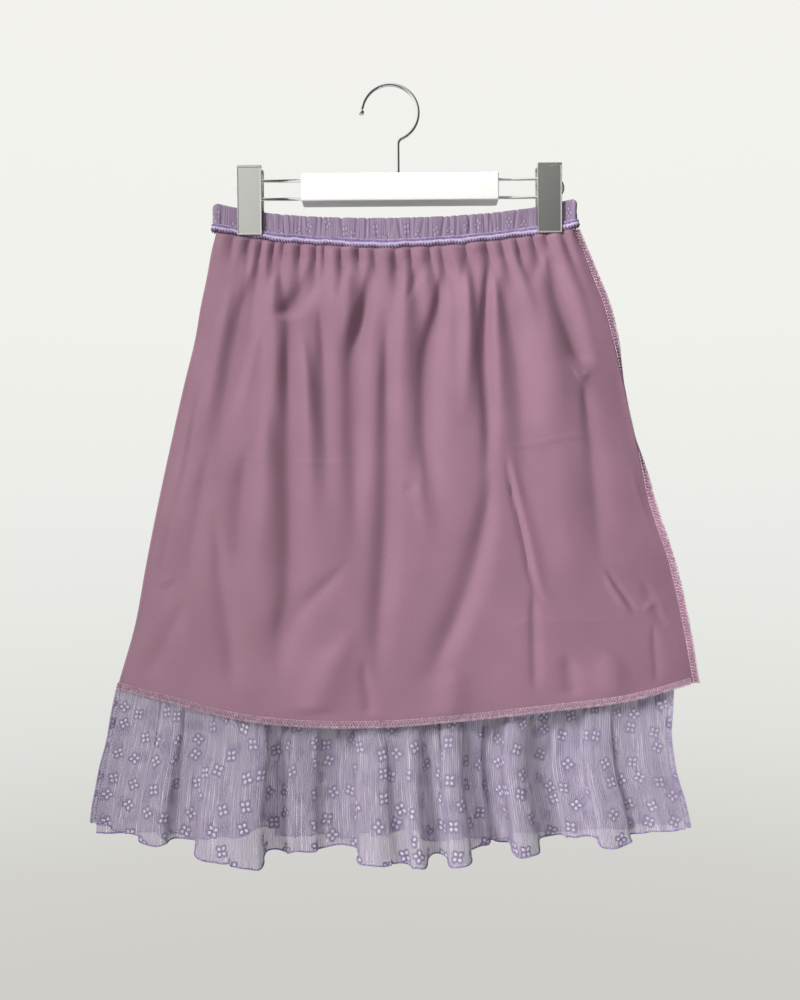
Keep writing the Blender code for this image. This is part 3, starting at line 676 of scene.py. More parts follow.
@dataclass(frozen=True)
class SmallPleats:
    """The small pleats where the ruffle is gathered into its seam: their phases and ranges."""

    seed: int
    first: float = 0.6
    last: float = 1.5  # before the last wave
    step: float = 0.34
    offset: Spread = Spread(-0.12, 0.12)
    width: Spread = Spread(0.06, 0.12)
    height: Spread = Spread(-5.0, 2.6)
    reach: Spread = Spread(0.5, 1.5)

    def spread(self) -> tuple[Pleat, ...]:
        """The pleats along the ruffle."""
        source = np.random.default_rng(self.seed)
        ranges = (self.offset, self.width, self.height, self.reach)
        phases = np.arange(self.first, len(RUFFLE_WAVES) - self.last, self.step)
        drawn = [(phase, *(each.draw(source) for each in ranges)) for phase in phases]
        return tuple(Pleat(phase + offset, *sizes) for phase, offset, *sizes in drawn)


@dataclass
class ClothPlaces:
    """Works out where the skirt's cloth lies, from its form and its tables."""

    form: SkirtForm
    gather_seed: int = 3
    gather_reach: Spread = Spread(0.45, 1.7)
    tables: dict[Side, PanelTables] = field(init=False)
    pleats: dict[Side, tuple[Pleat, ...]] = field(init=False)
    gather_reaches: Array = field(init=False)

    def __post_init__(self) -> None:
        """Makes the tables of both sides."""
        self.tables = {Side.FRONT: PanelTables.front(self.form), Side.BACK: PanelTables.back(self.form)}
        self.pleats = {Side.FRONT: SmallPleats(seed=11).spread(), Side.BACK: SmallPleats(seed=12).spread()}
        source = np.random.default_rng(self.gather_seed)
        self.gather_reaches = source.uniform(*self.gather_reach, len(GATHERS))

    def gather_across(self, side: Side, phase: Values) -> Values:
        """Place across the waist, -1 to 1, at a phase: phase k is notch k.

        Args:
            side: front or back.
            phase: places across, in gathers.

        Returns:
            Places across.
        """
        gathers = self.tables[side].gathers
        left, right = self.form.edges(LINING_EDGES, LINING_EDGES[0].z)
        stops = np.array([float(left)] + [row.notch for row in gathers[1:]] + [float(right)])
        x = np.interp(phase, np.arange(len(stops)), stops)
        return 2 * (x - left) / (right - left) - 1

    def lining_z(self, across: Values, drop: Values) -> Values:
        """Height at a drop below the waist seam, scaled to end at the hem's own line."""
        top = self.form.seam_over(LINING_EDGES, across, self.form.pinch)
        return lerp(top, read(LINING_HEM, "across", "z", across), drop / self.form.lining_length)

    def lining(self, side: Side, phase: Values, drop: Values, lift: Values = 0.0) -> Points:
        """Points on the lining's outer face.

        Args:
            side: front or back.
            phase: place across, in gathers.
            drop: distance down from the waist seam.
            lift: distance out from the face.

        Returns:
            X, Y and Z.
        """
        form, tables = self.form, self.tables[side]
        count = len(tables.gathers)
        evenly = smooth(drop / form.lining_length)
        across = lerp(self.gather_across(side, phase), 2 * phase / count - 1, evenly)
        z = self.lining_z(across, drop)
        left, right = form.edges(LINING_EDGES, z)
        start = left + form.body_depth(-1.0, left, z) + (form.back_inset if side is Side.BACK else 0.0)
        x = lerp(start, right, (across + 1) / 2)
        reliefs = np.array([row.relief for row in tables.gathers])
        own = np.clip(phase.astype(int), 0, count - 1)
        roundness = lerp(form.notch_roundness, form.gather_roundness, smooth(drop / form.notch_drop))
        ridge = reliefs[own] * ((1 - np.cos(2 * math.pi * phase)) / 2) ** roundness
        lower = smooth((form.crease_gain_from - z) / form.crease_gain_drop)
        gain = lerp(form.crease_gain_top, form.crease_gain_low, lower)
        folds = form.lining_relief + gain * crease_relief(x, z, tables.creases)
        knee = form.relief_knee
        folds = form.relief_floor + knee * np.logaddexp(0.0, (folds - form.relief_floor) / knee)
        folds *= form.below_seam(x, z, form.relief_ease) * (1 - across**form.edge_hold)
        depth = form.body_depth(across, x, z) + folds + lift
        depth += ridge * read(GATHER_FADE, "drop", "strength", drop / self.gather_reaches[own])
        return x, side.value * depth, z

    def front_lining(self, share: Values, drop: Values, lift: Values = 0.0) -> Points:
        """The front, whose left edge wraps round the fold to a seam on the back.

        Args:
            share: places across, from 0 to 1.
            drop: distances down from the waist seam.
            lift: distances out from the face.

        Returns:
            X, Y and Z.
        """
        form = self.form
        phase = np.maximum(0.0, (share - form.wrap_share) / (1 - form.wrap_share)) * len(GATHERS)
        x, y, z = self.lining(Side.FRONT, phase, drop, lift)
        rim_z = self.lining_z(np.full(np.shape(share), -1.0), drop)
        left, _ = form.edges(LINING_EDGES, rim_z)
        radius = form.body_depth(-1.0, left, rim_z)
        angle = np.radians(lerp(90.0, -90.0, np.clip(share / form.wrap_share, 0.0, 1.0)))
        wrap = share < form.wrap_share
        reach = radius + lift
        rim_x, rim_y = left + radius - reach * np.cos(angle), reach * np.sin(angle)
        return np.where(wrap, rim_x, x), np.where(wrap, rim_y, y), np.where(wrap, rim_z, z)

    def back_lining(self, share: Values, drop: Values, lift: Values = 0.0) -> Points:
        """The back, from its right edge to its left as its maker saw it."""
        return self.lining(Side.BACK, (1 - share) * len(GATHERS), drop, lift)

    def outer(self, side: Side, share: Values, drop_share: Values) -> Points:
        """Points on an outer panel's face next to the lining.

        Args:
            side: front or back.
            share: places across, from 0 to 1.
            drop_share: 0 at the top, 1 at the ruffle's seam.

        Returns:
            X, Y and Z.
        """
        form = self.form
        top = form.seam_over(OUTER_EDGES, 2 * share - 1, 0.0) + form.seam_cover
        z = lerp(top, form.ruffle_top + form.gap, drop_share)
        left, right = form.edges(OUTER_EDGES, z)
        room = np.maximum(0.0, form.depth_inside(lerp(left, right, share), z) - form.outer_close)
        depth = form.outer_close + room * (1 - (2 * share - 1) ** form.edge_hold)
        return lerp(left, right, share), side.value * depth, z

    def ruffle(self, side: Side, phase: Array, share: Array, lift: Values = 0.0, fall: float = 0.0) -> Points:
        """Points on the ruffle's outer face.

        Args:
            side: front or back.
            phase: place along it, in rows of its waves.
            share: 0 at its seam, 1 at its hem.
            lift: distance out from the face.
            fall: distance down.

        Returns:
            X, Y and Z.
        """
        form, waves = self.form, self.tables[side].waves
        index = np.clip(phase.astype(int), 0, len(waves) - 2)
        step = phase - index
        turn = (1 - np.cos(math.pi * step)) / 2

        def between(name: str, mix: Values) -> Array:
            """A column of the waves, a share of the way from this row to the next."""
            values = np.array([getattr(row, name) for row in waves])
            return lerp(values[index], values[index + 1], mix)

        over = np.array([row.over for row in waves])[index]
        stride = step + over * np.sin(2 * math.pi * step) / (2 * math.pi)
        z = lerp(form.ruffle_top, between("z", turn), share)
        hem_left, hem_right = waves[0].x, waves[-1].x
        hem_place = (between("x", stride) - hem_left) / (hem_right - hem_left)
        place = lerp(phase / (len(waves) - 1), hem_place, smooth(share * form.hem_spread))
        left, right = form.edges(OUTER_EDGES, z)
        x = lerp(left, right, place)
        room = np.maximum(0.0, form.depth_inside(x, z) - form.outer_close)
        room *= 1 - between("inset", turn) * smooth(share * form.inset_haste)
        room += between("flare", turn) * smooth((form.flare_top - z) / form.flare_drop)
        hold = 1 - (2 * place - 1) ** form.edge_hold
        small = np.zeros(np.shape(room))
        for pleat in self.pleats[side]:
            away = (phase - pleat.phase) / pleat.width
            small += pleat.height * np.exp(-away * away) * (1 - smooth(share / pleat.reach))
        ripple = form.ripple * np.sin(form.ripple_rate * phase + sway(phase, form.ripple_wander))
        small += ripple * share**form.ripple_power
        depth = np.maximum(form.outer_close + (room + small) * hold + lift, form.least_depth)
        return x, side.value * depth, z - fall - sway(phase, form.hem_fall) * share * hold


def linear(code: str) -> tuple[float, float, float, float]:
    """An sRGB hex colour as linear numbers, with alpha 1.

    Args:
        code: the colour, as # and six digits.

    Returns:
        Red, green, blue and alpha.
    """
    parts = [int(code[start : start + 2], 16) / 255 for start in (1, 3, 5)]
    flat = [p / 12.92 if p <= 0.04045 else ((p + 0.055) / 1.055) ** 2.4 for p in parts]
    return flat[0], flat[1], flat[2], 1.0


def add_node(tree: Tree, kind: str, inputs: dict | None = None, **settings: object) -> Node:
    """Adds a node with its settings, and sets or links its inputs.

    Args:
        tree: where it goes.
        kind: the node's type, without its ShaderNode.
        inputs: values or sockets, by the input's name or number.
        **settings: the node's own properties.

    Returns:
        The node.
    """
    made = tree.nodes.new(f"ShaderNode{kind}")
    for name, value in settings.items():
        setattr(made, name, value)
    for name, value in (inputs or {}).items():
        if isinstance(value, Socket):
            tree.links.new(value, made.inputs[name])
        else:
            made.inputs[name].default_value = value
    return made


def new_material(name: str) -> tuple[Finish, Tree]:
    """A material without nodes.

    Args:
        name: the material's name.

    Returns:
        The material and its tree.
    """
    made = bpy.data.materials.new(name)
    made.use_nodes = True
    made.node_tree.nodes.clear()
    return made, made.node_tree


def close_material(tree: Tree, shader: Node) -> None:
    """Links a material's last shader to its output."""
    add_node(tree, "OutputMaterial", {"Surface": shader.outputs[0]})


def noise(tree: Tree, vector: Socket, scale: float, detail: float, **more: float) -> Socket:
    """The factor of a noise texture."""
    inputs = {"Vector": vector, "Scale": scale, "Detail": detail, **more}
    return add_node(tree, "TexNoise", inputs).outputs["Fac"]


def stretched(tree: Tree, vector: Socket, across: float, along: float) -> Socket:
    """Coordinates scaled by two factors, across and along the cloth."""
    return add_node(tree, "Mapping", {"Vector": vector, "Scale": (across, along, 1.0)}).outputs[0]


def remap(
    tree: Tree, value: Socket, start: float, end: float, low: float = 0, high: float = 1, soft: bool = False
) -> Socket:
    """A value mapped from start and end onto low and high, eased in and out if it is soft."""
    inputs = {"Value": value, "From Min": start, "From Max": end, "To Min": low, "To Max": high}
    return add_node(tree, "MapRange", inputs, interpolation_type=("LINEAR", "SMOOTHSTEP")[soft]).outputs[0]


def maths(tree: Tree, operation: str, *values: Socket | float, clamp: bool = False) -> Socket:
    """The result of a Math node on values or sockets."""
    inputs = dict(enumerate(values))
    return add_node(tree, "Math", inputs, operation=operation, use_clamp=clamp).outputs[0]


def vector_maths(tree: Tree, operation: str, *values: Socket | tuple) -> Node:
    """A Vector Math node on vectors or sockets."""
    return add_node(tree, "VectorMath", dict(enumerate(values)), operation=operation)


def turned(tree: Tree, vector: Socket, angle: Socket | float) -> Socket:
    """Coordinates turned in their own plane."""
    inputs = {"Vector": vector, "Angle": angle}
    return add_node(tree, "VectorRotate", inputs, rotation_type="Z_AXIS").outputs[0]


def blend(tree: Tree, share: Socket, first: tuple | Socket, second: tuple) -> Socket:
    """A colour between two linear colours."""
    inputs = {"Factor": share, "A": first, "B": second}
    return add_node(tree, "Mix", inputs, data_type="RGBA").outputs["Result"]


def bump(tree: Tree, height: Socket, rise: float, strength: float, under: Socket | None = None) -> Socket:
    """The normal of fine relief on that of under, where a height of 1 is a rise in millimetres."""
    inputs = {"Height": height, "Distance": rise * MM, "Strength": strength}
    return add_node(tree, "Bump", inputs if under is None else {**inputs, "Normal": under}).outputs[0]


def principled(tree: Tree, colour: tuple | Socket, roughness: Socket | float, **more: object) -> Node:
    """A Principled BSDF, whose other inputs are named with _ for each space."""
    others = {name.replace("_", " "): value for name, value in more.items()}
    return add_node(tree, "BsdfPrincipled", {"Base Color": colour, "Roughness": roughness, **others})


@dataclass(frozen=True)
class PolyesterSatin:
    """Woven polyester lining satin: its long floats give broad soft highlights and a faint grain."""

    light: str = "#957183"
    dark: str = "#8B697A"
    roughness: float = 0.6
    cloud: float = 60.0  # how wide its faint patches of tone are
    grain: float = 0.9  # floats are 0.2 mm wide, drawn wider to show at all
    slimness: float = 0.35  # a float's width to its length
    crumple: float = 16.0
    crumple_rise: float = 0.6
    weave_rise: float = 0.1

    def make(self) -> Finish:
        """Builds the material on the cloth's own UV map, in millimetres."""
        made, tree = new_material("polyester_satin")
        uv = add_node(tree, "TexCoord").outputs["UV"]
        floats = noise(tree, stretched(tree, uv, 1 / self.grain, self.slimness / self.grain), 1.0, 3.0)
        tone = maths(tree, "ADD", noise(tree, uv, 1 / self.cloud, 2.0), floats)
        colour = blend(tree, remap(tree, tone, 0.75, 1.25), linear(self.dark), linear(self.light))
        crumple = bump(tree, noise(tree, uv, 1 / self.crumple, 2.0, Roughness=0.4), self.crumple_rise, 0.6)
        weave = bump(tree, floats, self.weave_rise, 0.35, crumple)
        sheen = {"Sheen_Weight": 0.1, "Sheen_Roughness": 0.4, "Specular_IOR_Level": 0.45}
        close_material(tree, principled(tree, colour, self.roughness, Normal=weave, **sheen))
        return made


@dataclass(frozen=True)
class RibbedSheer:
    """Ribbed sheer polyester with small woven flowers: fine cords, thin ground between, thick petals."""

    name: str = "ribbed_sheer_polyester"
    # Cords blend towards this near-white as far as their painted sheen reaches.
    cord: str = "#F2EEF6"
    ground: str = "#B7ABC4"
    petal: str = "#E8E2EF"
    # The shade colour is that of the darker ring round the petals: partly the weave's own line, partly
    # painted shadow round the raised petals.
    shade: str = "#7D7093"
    pitch: float = 2.2
    rib_share: float = 0.35  # of a petal's thickness
    cover: float = 0.4  # each wall's own; what shows is seen through two
    glow: float = 0.28
    thick_cover: float = 0.95
    thickness: float = 0.4
    roughness: float = 0.62
    wander: float = 1.6
    wander_length: float = 30.0
    cord_shares: Pair = (0.19, 0.38)  # of the pitch, at a cord's foot and on its top
    sheen_streak: Pair = (0.92, 0.03)  # cords painted lighter as streaks of sheen: how often across, and how short
    sheen_group: Pair = (13.0, 70.0)  # groups of cords painted lighter as sheen: how wide and how long
    flower_pitch: float = 24.0
    petal_place: float = 2.35
    petal_length: float = 2.2
    petal_width: float = 1.75

    def make(self) -> Finish:
        """Builds the material on the cloth's own UV map, in millimetres."""
        made, tree = new_material(self.name)
        uv = add_node(tree, "TexCoord").outputs["UV"]
        rib, cords = self.ribs(tree, uv)
        petals, outline_and_shadow = self.flowers(tree, uv)
        colour = self.colours(tree, cords, petals, outline_and_shadow)
        height = maths(tree, "MAXIMUM", petals, maths(tree, "MULTIPLY", rib, self.rib_share))
        relief = bump(tree, height, self.thickness, 0.7)
        cover = remap(tree, maths(tree, "MAXIMUM", height, outline_and_shadow), 0.0, 1.0, self.cover, self.thick_cover)
        shader = principled(tree, colour, self.roughness, Normal=relief, Sheen_Weight=0.15)
        glow = add_node(tree, "BsdfTranslucent", {"Color": colour, "Normal": relief})
        inputs = {"Fac": self.glow, 1: shader.outputs[0], 2: glow.outputs[0]}
        cloth = add_node(tree, "MixShader", inputs)
        clear = add_node(tree, "BsdfTransparent")
        thin = {"Fac": cover, 1: clear.outputs[0], 2: cloth.outputs[0]}
        close_material(tree, add_node(tree, "MixShader", thin))
        return made

    def ribs(self, tree: Tree, uv: Socket) -> tuple[Socket, Socket]:
        """Cords down the cloth, a saw-tooth folded into narrow ridges, some painted lighter than others as
        streaks of sheen.

        Args:
            tree: the material's nodes.
            uv: the cloth's own coordinates.

        Returns:
            The ridges' height, and the cords' brightness, which carries their painted sheen.
        """
        across = add_node(tree, "SeparateXYZ", {0: uv}).outputs["X"]
        shift = maths(tree, "MULTIPLY_ADD", noise(tree, uv, 1 / self.wander_length, 1.0), self.wander, across)
        fold = maths(tree, "PINGPONG", shift, self.pitch / 2)
        foot, top = (share * self.pitch for share in self.cord_shares)
        rib = remap(tree, fold, foot, top, soft=True)
        streaks = noise(tree, stretched(tree, uv, self.sheen_streak[0] / self.pitch, self.sheen_streak[1]), 1.0, 2.0)
        groups = noise(tree, stretched(tree, uv, 1 / self.sheen_group[0], 1 / self.sheen_group[1]), 1.0, 1.0)
        # Painted sheen: random streaks and groups of cords are drawn lighter, standing in for light caught on
        # the cords.
        bright = remap(tree, streaks, 0.44, 0.68, 0.12, 1.2)
        sheen_group = remap(tree, groups, 0.42, 0.58, 0.25, 1.0)
        return rib, maths(tree, "MULTIPLY", rib, maths(tree, "MULTIPLY", bright, sheen_group))

    def flowers(self, tree: Tree, uv: Socket) -> tuple[Socket, Socket]:
        """Four oval petals round the nearest of a loose grid of points, each flower turned its own way.

        Args:
            tree: the material's nodes.
            uv: the cloth's own coordinates.

        Returns:
            The petals, and the darker ring round them: partly the weave's own line, partly painted shadow
            round the raised petals.
        """
        loose = {"Vector": uv, "Scale": 1 / self.flower_pitch, "Randomness": 0.6}
        cells = add_node(tree, "TexVoronoi", loose, voronoi_dimensions="2D")
        away = vector_maths(tree, "SUBTRACT", uv, cells.outputs["Position"]).outputs[0]
        lot = add_node(tree, "SeparateXYZ", {0: cells.outputs["Color"]}).outputs["X"]
        own_way = turned(tree, away, maths(tree, "MULTIPLY", lot, math.pi / 2))
        quarter = vector_maths(tree, "ABSOLUTE", own_way).outputs[0]
        middle = (self.petal_place, self.petal_place, 0.0)
        level = turned(tree, vector_maths(tree, "SUBTRACT", quarter, middle).outputs[0], -math.pi / 4)
        oval = vector_maths(tree, "MULTIPLY", level, (1 / self.petal_length, 1 / self.petal_width, 0.0))
        reach = vector_maths(tree, "LENGTH", oval.outputs[0]).outputs["Value"]
        # The ring round each petal is darkened: partly the weave's own line, partly painted shadow round the
        # raised petal.
        petals, rim = remap(tree, reach, 1.0, 0.6, soft=True), remap(tree, reach, 2.0, 1.2, soft=True)
        return petals, maths(tree, "SUBTRACT", rim, petals, clamp=True)

    def colours(self, tree: Tree, cords: Socket, petals: Socket, outline_and_shadow: Socket) -> Socket:
        """Colours the ground, then its cords with their painted sheen, the darker ring round the petals,
        which is partly painted shadow, and the petals.

        Args:
            tree: the material's nodes.
            cords: the cords' brightness, which carries their painted sheen.
            petals: the petals.
            outline_and_shadow: the darker ring round the petals, partly painted shadow.

        Returns:
            The colour.
        """
        colour = linear(self.ground)
        # The cords carry painted sheen, and the ring round the petals carries painted shadow as well as the
        # weave's line.
        layers = ((cords, self.cord, 1.0), (outline_and_shadow, self.shade, 0.75), (petals, self.petal, 0.9))
        for share, code, strength in layers:
            colour = blend(tree, maths(tree, "MULTIPLY", share, strength), colour, linear(code))
        return colour


# Its shade colour paints the same partly shadowed ring round the petals, and its cord colour the same painted
# sheen.
BACKED_SHEER = RibbedSheer(
    "ribbed_sheer_over_elastic", "#B09EB3", "#8F7C95", "#AF9DB4", "#816E8C", 2.7, 0.8, cover=1.0, glow=0.0
)


@dataclass(frozen=True)
class SpunThread:
    """Spun polyester sewing thread: matt, with plies that catch the light unevenly."""

    name: str
    light: str
    dark: str
    roughness: float = 0.7
    fibre_scale: float = 420.0
    ply_rise: float = 0.2

    def make(self) -> Finish:
        """Builds the material on object coordinates."""
        made, tree = new_material(self.name)
        place = add_node(tree, "TexCoord").outputs["Object"]
        fibre = noise(tree, place, self.fibre_scale, 2.0)
        colour = blend(tree, remap(tree, fibre, 0.3, 0.7), linear(self.dark), linear(self.light))
        plies = bump(tree, fibre, self.ply_rise, 0.4)
        close_material(tree, principled(tree, colour, self.roughness, Normal=plies, Sheen_Weight=0.2))
        return made


@dataclass(frozen=True)
class Plating:
    """Bright plating on steel: a mirror with a little haze and faint handling marks."""

    name: str
    colour: str
    clear: float
    hazed: float
    mark_scale: float = 160.0

    def make(self) -> Finish:
        """Builds the material on object coordinates."""
        made, tree = new_material(self.name)
        place = add_node(tree, "TexCoord").outputs["Object"]
        haze = remap(tree, noise(tree, place, self.mark_scale, 4.0), 0.35, 0.7, self.clear, self.hazed)
        close_material(tree, principled(tree, linear(self.colour), haze, Metallic=1.0))
        return made


@dataclass(frozen=True)
class MouldedSurface:
    """A lacquered or moulded surface: one colour, a fine ripple and a gloss that varies a little."""

    name: str
    colour: str
    roughness: float
    ripple: float
    coat: float = 0.0
    grain_scale: float = 260.0
    gloss_shares: Pair = (0.85, 1.2)

    def make(self) -> Finish:
        """Builds the material on object coordinates."""
        made, tree = new_material(self.name)
        place = add_node(tree, "TexCoord").outputs["Object"]
        grain = noise(tree, place, self.grain_scale, 3.0)
        gloss = remap(tree, grain, 0.0, 1.0, *(share * self.roughness for share in self.gloss_shares))
        coat = {"Coat_Weight": self.coat, "Coat_Roughness": 0.1}
        wave = bump(tree, grain, self.ripple, 0.3)
        close_material(tree, principled(tree, linear(self.colour), gloss, Normal=wave, **coat))
        return made


@dataclass
class Wardrobe:
    """All the finishes, each made once."""

    satin: Finish = field(default_factory=PolyesterSatin().make)
    sheer: Finish = field(default_factory=RibbedSheer().make)
    backed_sheer: Finish = field(default_factory=BACKED_SHEER.make)
    mauve_thread: Finish = field(default_factory=SpunThread("spun_thread_mauve", "#D0B3C3", "#9A788D").make)
    # The lower loops' thread is drawn dark: its own violet colour, and painted shade for the gaps between the
    # loops.
    violet_thread_painted_shade: Finish = field(default_factory=SpunThread("spun_thread_violet", "#715C88", "#503F66").make)
    seam_cloth: Finish = field(
        default_factory=SpunThread("rolled_sheer_allowance", "#C9BBD6", "#AE9DC0").make
    )
    purple_thread: Finish = field(default_factory=SpunThread("spun_thread_purple", "#A28FB8", "#75608F").make)
    chrome: Finish = field(default_factory=Plating("chromed_steel_wire", "#E8E9EA", 0.12, 0.16).make)
    nickel: Finish = field(default_factory=Plating("plated_spring_steel", "#E8E9E6", 0.2, 0.22).make)
    # The rim's plating is lighter and rougher than the field's: a painted highlight that shows as a pale line
    # round each plate.
    polished: Finish = field(default_factory=Plating("polished_steel_rim", "#F6F6F4", 0.55, 0.6).make)
    lacquer: Finish = field(
        default_factory=MouldedSurface("white_lacquered_wood", "#F4F4F2", 0.3, 0.05, 0.4).make
    )
    # Dark pads, a little wider than the plates, which show as dark lines along the plates' lower sides.
    rubber: Finish = field(default_factory=MouldedSurface("moulded_grip_rubber", "#35323F", 0.7, 0.15).make)


def deselect_all() -> None:
    """Leaves nothing selected, so that an operator meets only the new piece."""
    bpy.ops.object.select_all(action="DESELECT")


def select_only(*pieces: Piece) -> None:
    """Selects pieces and nothing else, the first of them active.

    Args:
        *pieces: the pieces, first the one that stays active.
    """
    deselect_all()
    for piece in pieces:
        piece.select_set(True)
    bpy.context.view_layer.objects.active = pieces[0]


def edit(piece: Piece, *steps: Step) -> None:
    """Runs operators on all of a piece's mesh in edit mode.

    Args:
        piece: the object.
        *steps: the operators, in order.
    """
    select_only(piece)
    bpy.ops.object.mode_set(mode="EDIT")
    bpy.ops.mesh.select_all(action="SELECT")
    for step in steps:
        step()
    bpy.ops.object.mode_set(mode="OBJECT")


def edit_picked(piece: Piece, wanted: Callable[[Vector, Vector], bool], step: Step) -> None:
    """Runs one operator in edit mode on the faces that wanted accepts, by their centre and normal.

    Args:
        piece: the object.
        wanted: says whether a face is picked.
        step: the operator.
    """
    for item in (*piece.data.vertices, *piece.data.edges):
        item.select = False
    for face in piece.data.polygons:
        face.select = wanted(face.center, face.normal)
    select_only(piece)
    bpy.ops.object.mode_set(mode="EDIT")
    bpy.ops.mesh.select_mode(type="FACE")
    step()
    bpy.ops.mesh.select_mode(type="VERT")
    bpy.ops.object.mode_set(mode="OBJECT")


def cuboid(size: Sequence[float], place: Sequence[float] = (0.0, 0.0, 0.0)) -> Piece:
    """A cuboid of a size round a place, in millimetres.

    Args:
        size: along X, Y and Z.
        place: its middle.

    Returns:
        The piece.
    """
    deselect_all()
    bpy.ops.mesh.primitive_cube_add(size=1.0, location=Vector(place) * MM)
    piece = bpy.context.active_object
    piece.scale = Vector(size) * MM
    bpy.ops.object.transform_apply(location=True, scale=True)
    return piece


def bevelled(piece: Piece, width: float, segments: int) -> None:
    """Rounds all of a piece's edges, by a width in millimetres."""
    edit(piece, lambda: bpy.ops.mesh.bevel(offset=width * MM, segments=segments, clamp_overlap=True))


def shade_smooth_to(degrees: float) -> None:
    """Shades what is selected smooth across edges of less than this angle."""
    bpy.ops.object.shade_smooth_by_angle(angle=math.radians(degrees))


def merge_doubles() -> None:
    """Joins points that lie on each other."""
    bpy.ops.mesh.remove_doubles(threshold=1e-6)


def close_holes() -> None:
    """Closes open rims."""
    bpy.ops.mesh.fill_holes(sides=0)


def face_outwards() -> None:
    """Turns all faces outwards."""
    bpy.ops.mesh.normals_make_consistent(inside=False)


def grid_sheet(name: str, columns: int, rows: int, place: Place, fullness: float = 1.0) -> Piece:
    """A grid moved into the shape of a piece of cloth, with a UV map in millimetres of cut cloth.

    Args:
        name: the piece's name.
        columns: cells across.
        rows: cells down.
        place: X, Y and Z from the shares across and down, in millimetres.
        fullness: cut width to the width along the piece's lower edge.

    Returns:
        The piece.
    """
    deselect_all()
    bpy.ops.mesh.primitive_grid_add(x_subdivisions=columns, y_subdivisions=rows, size=2.0, calc_uvs=True)
    piece = bpy.context.active_object
    piece.name = piece.data.name = name
    mesh = piece.data
    flat = np.empty(len(mesh.vertices) * 3, np.float32)
    mesh.vertices.foreach_get("co", flat)
    flat = flat.reshape(-1, 3).astype(float)
    across, down = (flat[:, 0] + 1) / 2, (1 - flat[:, 1]) / 2
    placed = np.stack(np.broadcast_arrays(*place(across, down)), axis=1)
    mesh.vertices.foreach_set("co", (placed * MM).astype(np.float32).ravel())
    column, row = np.rint(across * columns).astype(int), np.rint(down * rows).astype(int)
    table = np.zeros((columns + 1, rows + 1, 3))
    table[column, row] = placed
    steps_across = np.linalg.norm(np.diff(table[:, -1], axis=0), axis=1) * fullness
    steps_down = np.linalg.norm(np.diff(table[columns // 2], axis=0), axis=1)
    cut_across = np.concatenate([[0.0], np.cumsum(steps_across)])
    cut_down = np.concatenate([[0.0], np.cumsum(steps_down)])
    corner = np.empty(len(mesh.loops), np.int32)
    mesh.loops.foreach_get("vertex_index", corner)
    cut = np.stack([cut_across[column[corner]], -cut_down[row[corner]]], axis=1)
    mesh.uv_layers.active.uv.foreach_set("vector", cut.astype(np.float32).ravel())
    mesh.update()
    bpy.ops.object.shade_smooth()
    return piece


def thicken(piece: Piece, wall: float) -> None:
    """Gives an open sheet its wall, on its inner side.

    Args:
        piece: the object.
        wall: its thickness.
    """
    select_only(piece)
    modifier = piece.modifiers.new("wall", "SOLIDIFY")
    modifier.thickness = wall * MM
    modifier.offset = -1.0
    bpy.ops.object.modifier_apply(modifier=modifier.name)
    shade_smooth_to(RIM_ANGLE)


def folded_strip(name: str, grid: Cells, wall: float, face: Place) -> Piece:
    """A narrow strip of thick folded cloth, behind a face.

    Args:
        name: the piece's name.
        grid: cells across and down.
        wall: its thickness.
        face: its outer face.

    Returns:
        The piece.
    """
    strip = grid_sheet(name, *grid, face)
    edit(strip, face_outwards)
    thicken(strip, wall)
    edit(strip, face_outwards)
    return strip


def frames_along(points: Array) -> tuple[Array, Array]:
    """Two directions square to a path at each of its points, turning as little as they can.

    Args:
        points: the path, n by 3.

    Returns:
        The two directions, each n by 3.
    """
    along = np.gradient(points, axis=0)
    along /= np.linalg.norm(along, axis=1)[:, None]
    first = np.array([0.0, -1.0, 0.0])
    normals = np.empty_like(points)
    for index, direction in enumerate(along):
        first = first - direction * np.dot(first, direction)
        first = first / np.linalg.norm(first)
        normals[index] = first
    return normals, np.cross(along, normals)


def tube(name: str, points: Array, radii: Values, sides: int) -> Piece:
    """A grid rolled round a path, closed at both ends.

    Args:
        name: the piece's name.
        points: the path, n by 3, in millimetres.
        radii: one radius, or one for each point.
        sides: faces round it.

    Returns:
        The piece.
    """
    points = np.asarray(points, float)
    radii = np.broadcast_to(radii, len(points))
    first, second = frames_along(points)

    def place(across: Array, down: Array) -> Points:
        """Points round the path."""
        index = np.rint(down * (len(points) - 1)).astype(int)
        angle = 2 * math.pi * across
        out = first[index] * np.cos(angle)[:, None] + second[index] * np.sin(angle)[:, None]
        return tuple((points[index] + out * radii[index][:, None]).T)

    piece = grid_sheet(name, sides, len(points) - 1, place)
    edit(piece, merge_doubles, close_holes, face_outwards)
    return piece


def join(name: str, pieces: Sequence[Piece]) -> Piece:
    """Joins pieces into one object.

    Args:
        name: the new name.
        pieces: the pieces.

    Returns:
        The piece.
    """
    select_only(*pieces)
    bpy.ops.object.join()
    pieces[0].name = pieces[0].data.name = name
    return pieces[0]


def dress(piece: Piece, finish: Finish, replaces: Sequence[str] = ()) -> None:
    """Gives a piece its finish and its body, and hides the solids that it stands for.

    Args:
        piece: the object.
        finish: its material.
        replaces: the solids that it stands for.
    """
    piece.data.materials.clear()
    piece.data.materials.append(finish)
    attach(piece, BODY)
    if replaces:
        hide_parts(*replaces)
    LOG.info("%s: %d faces", piece.name, len(piece.data.polygons))


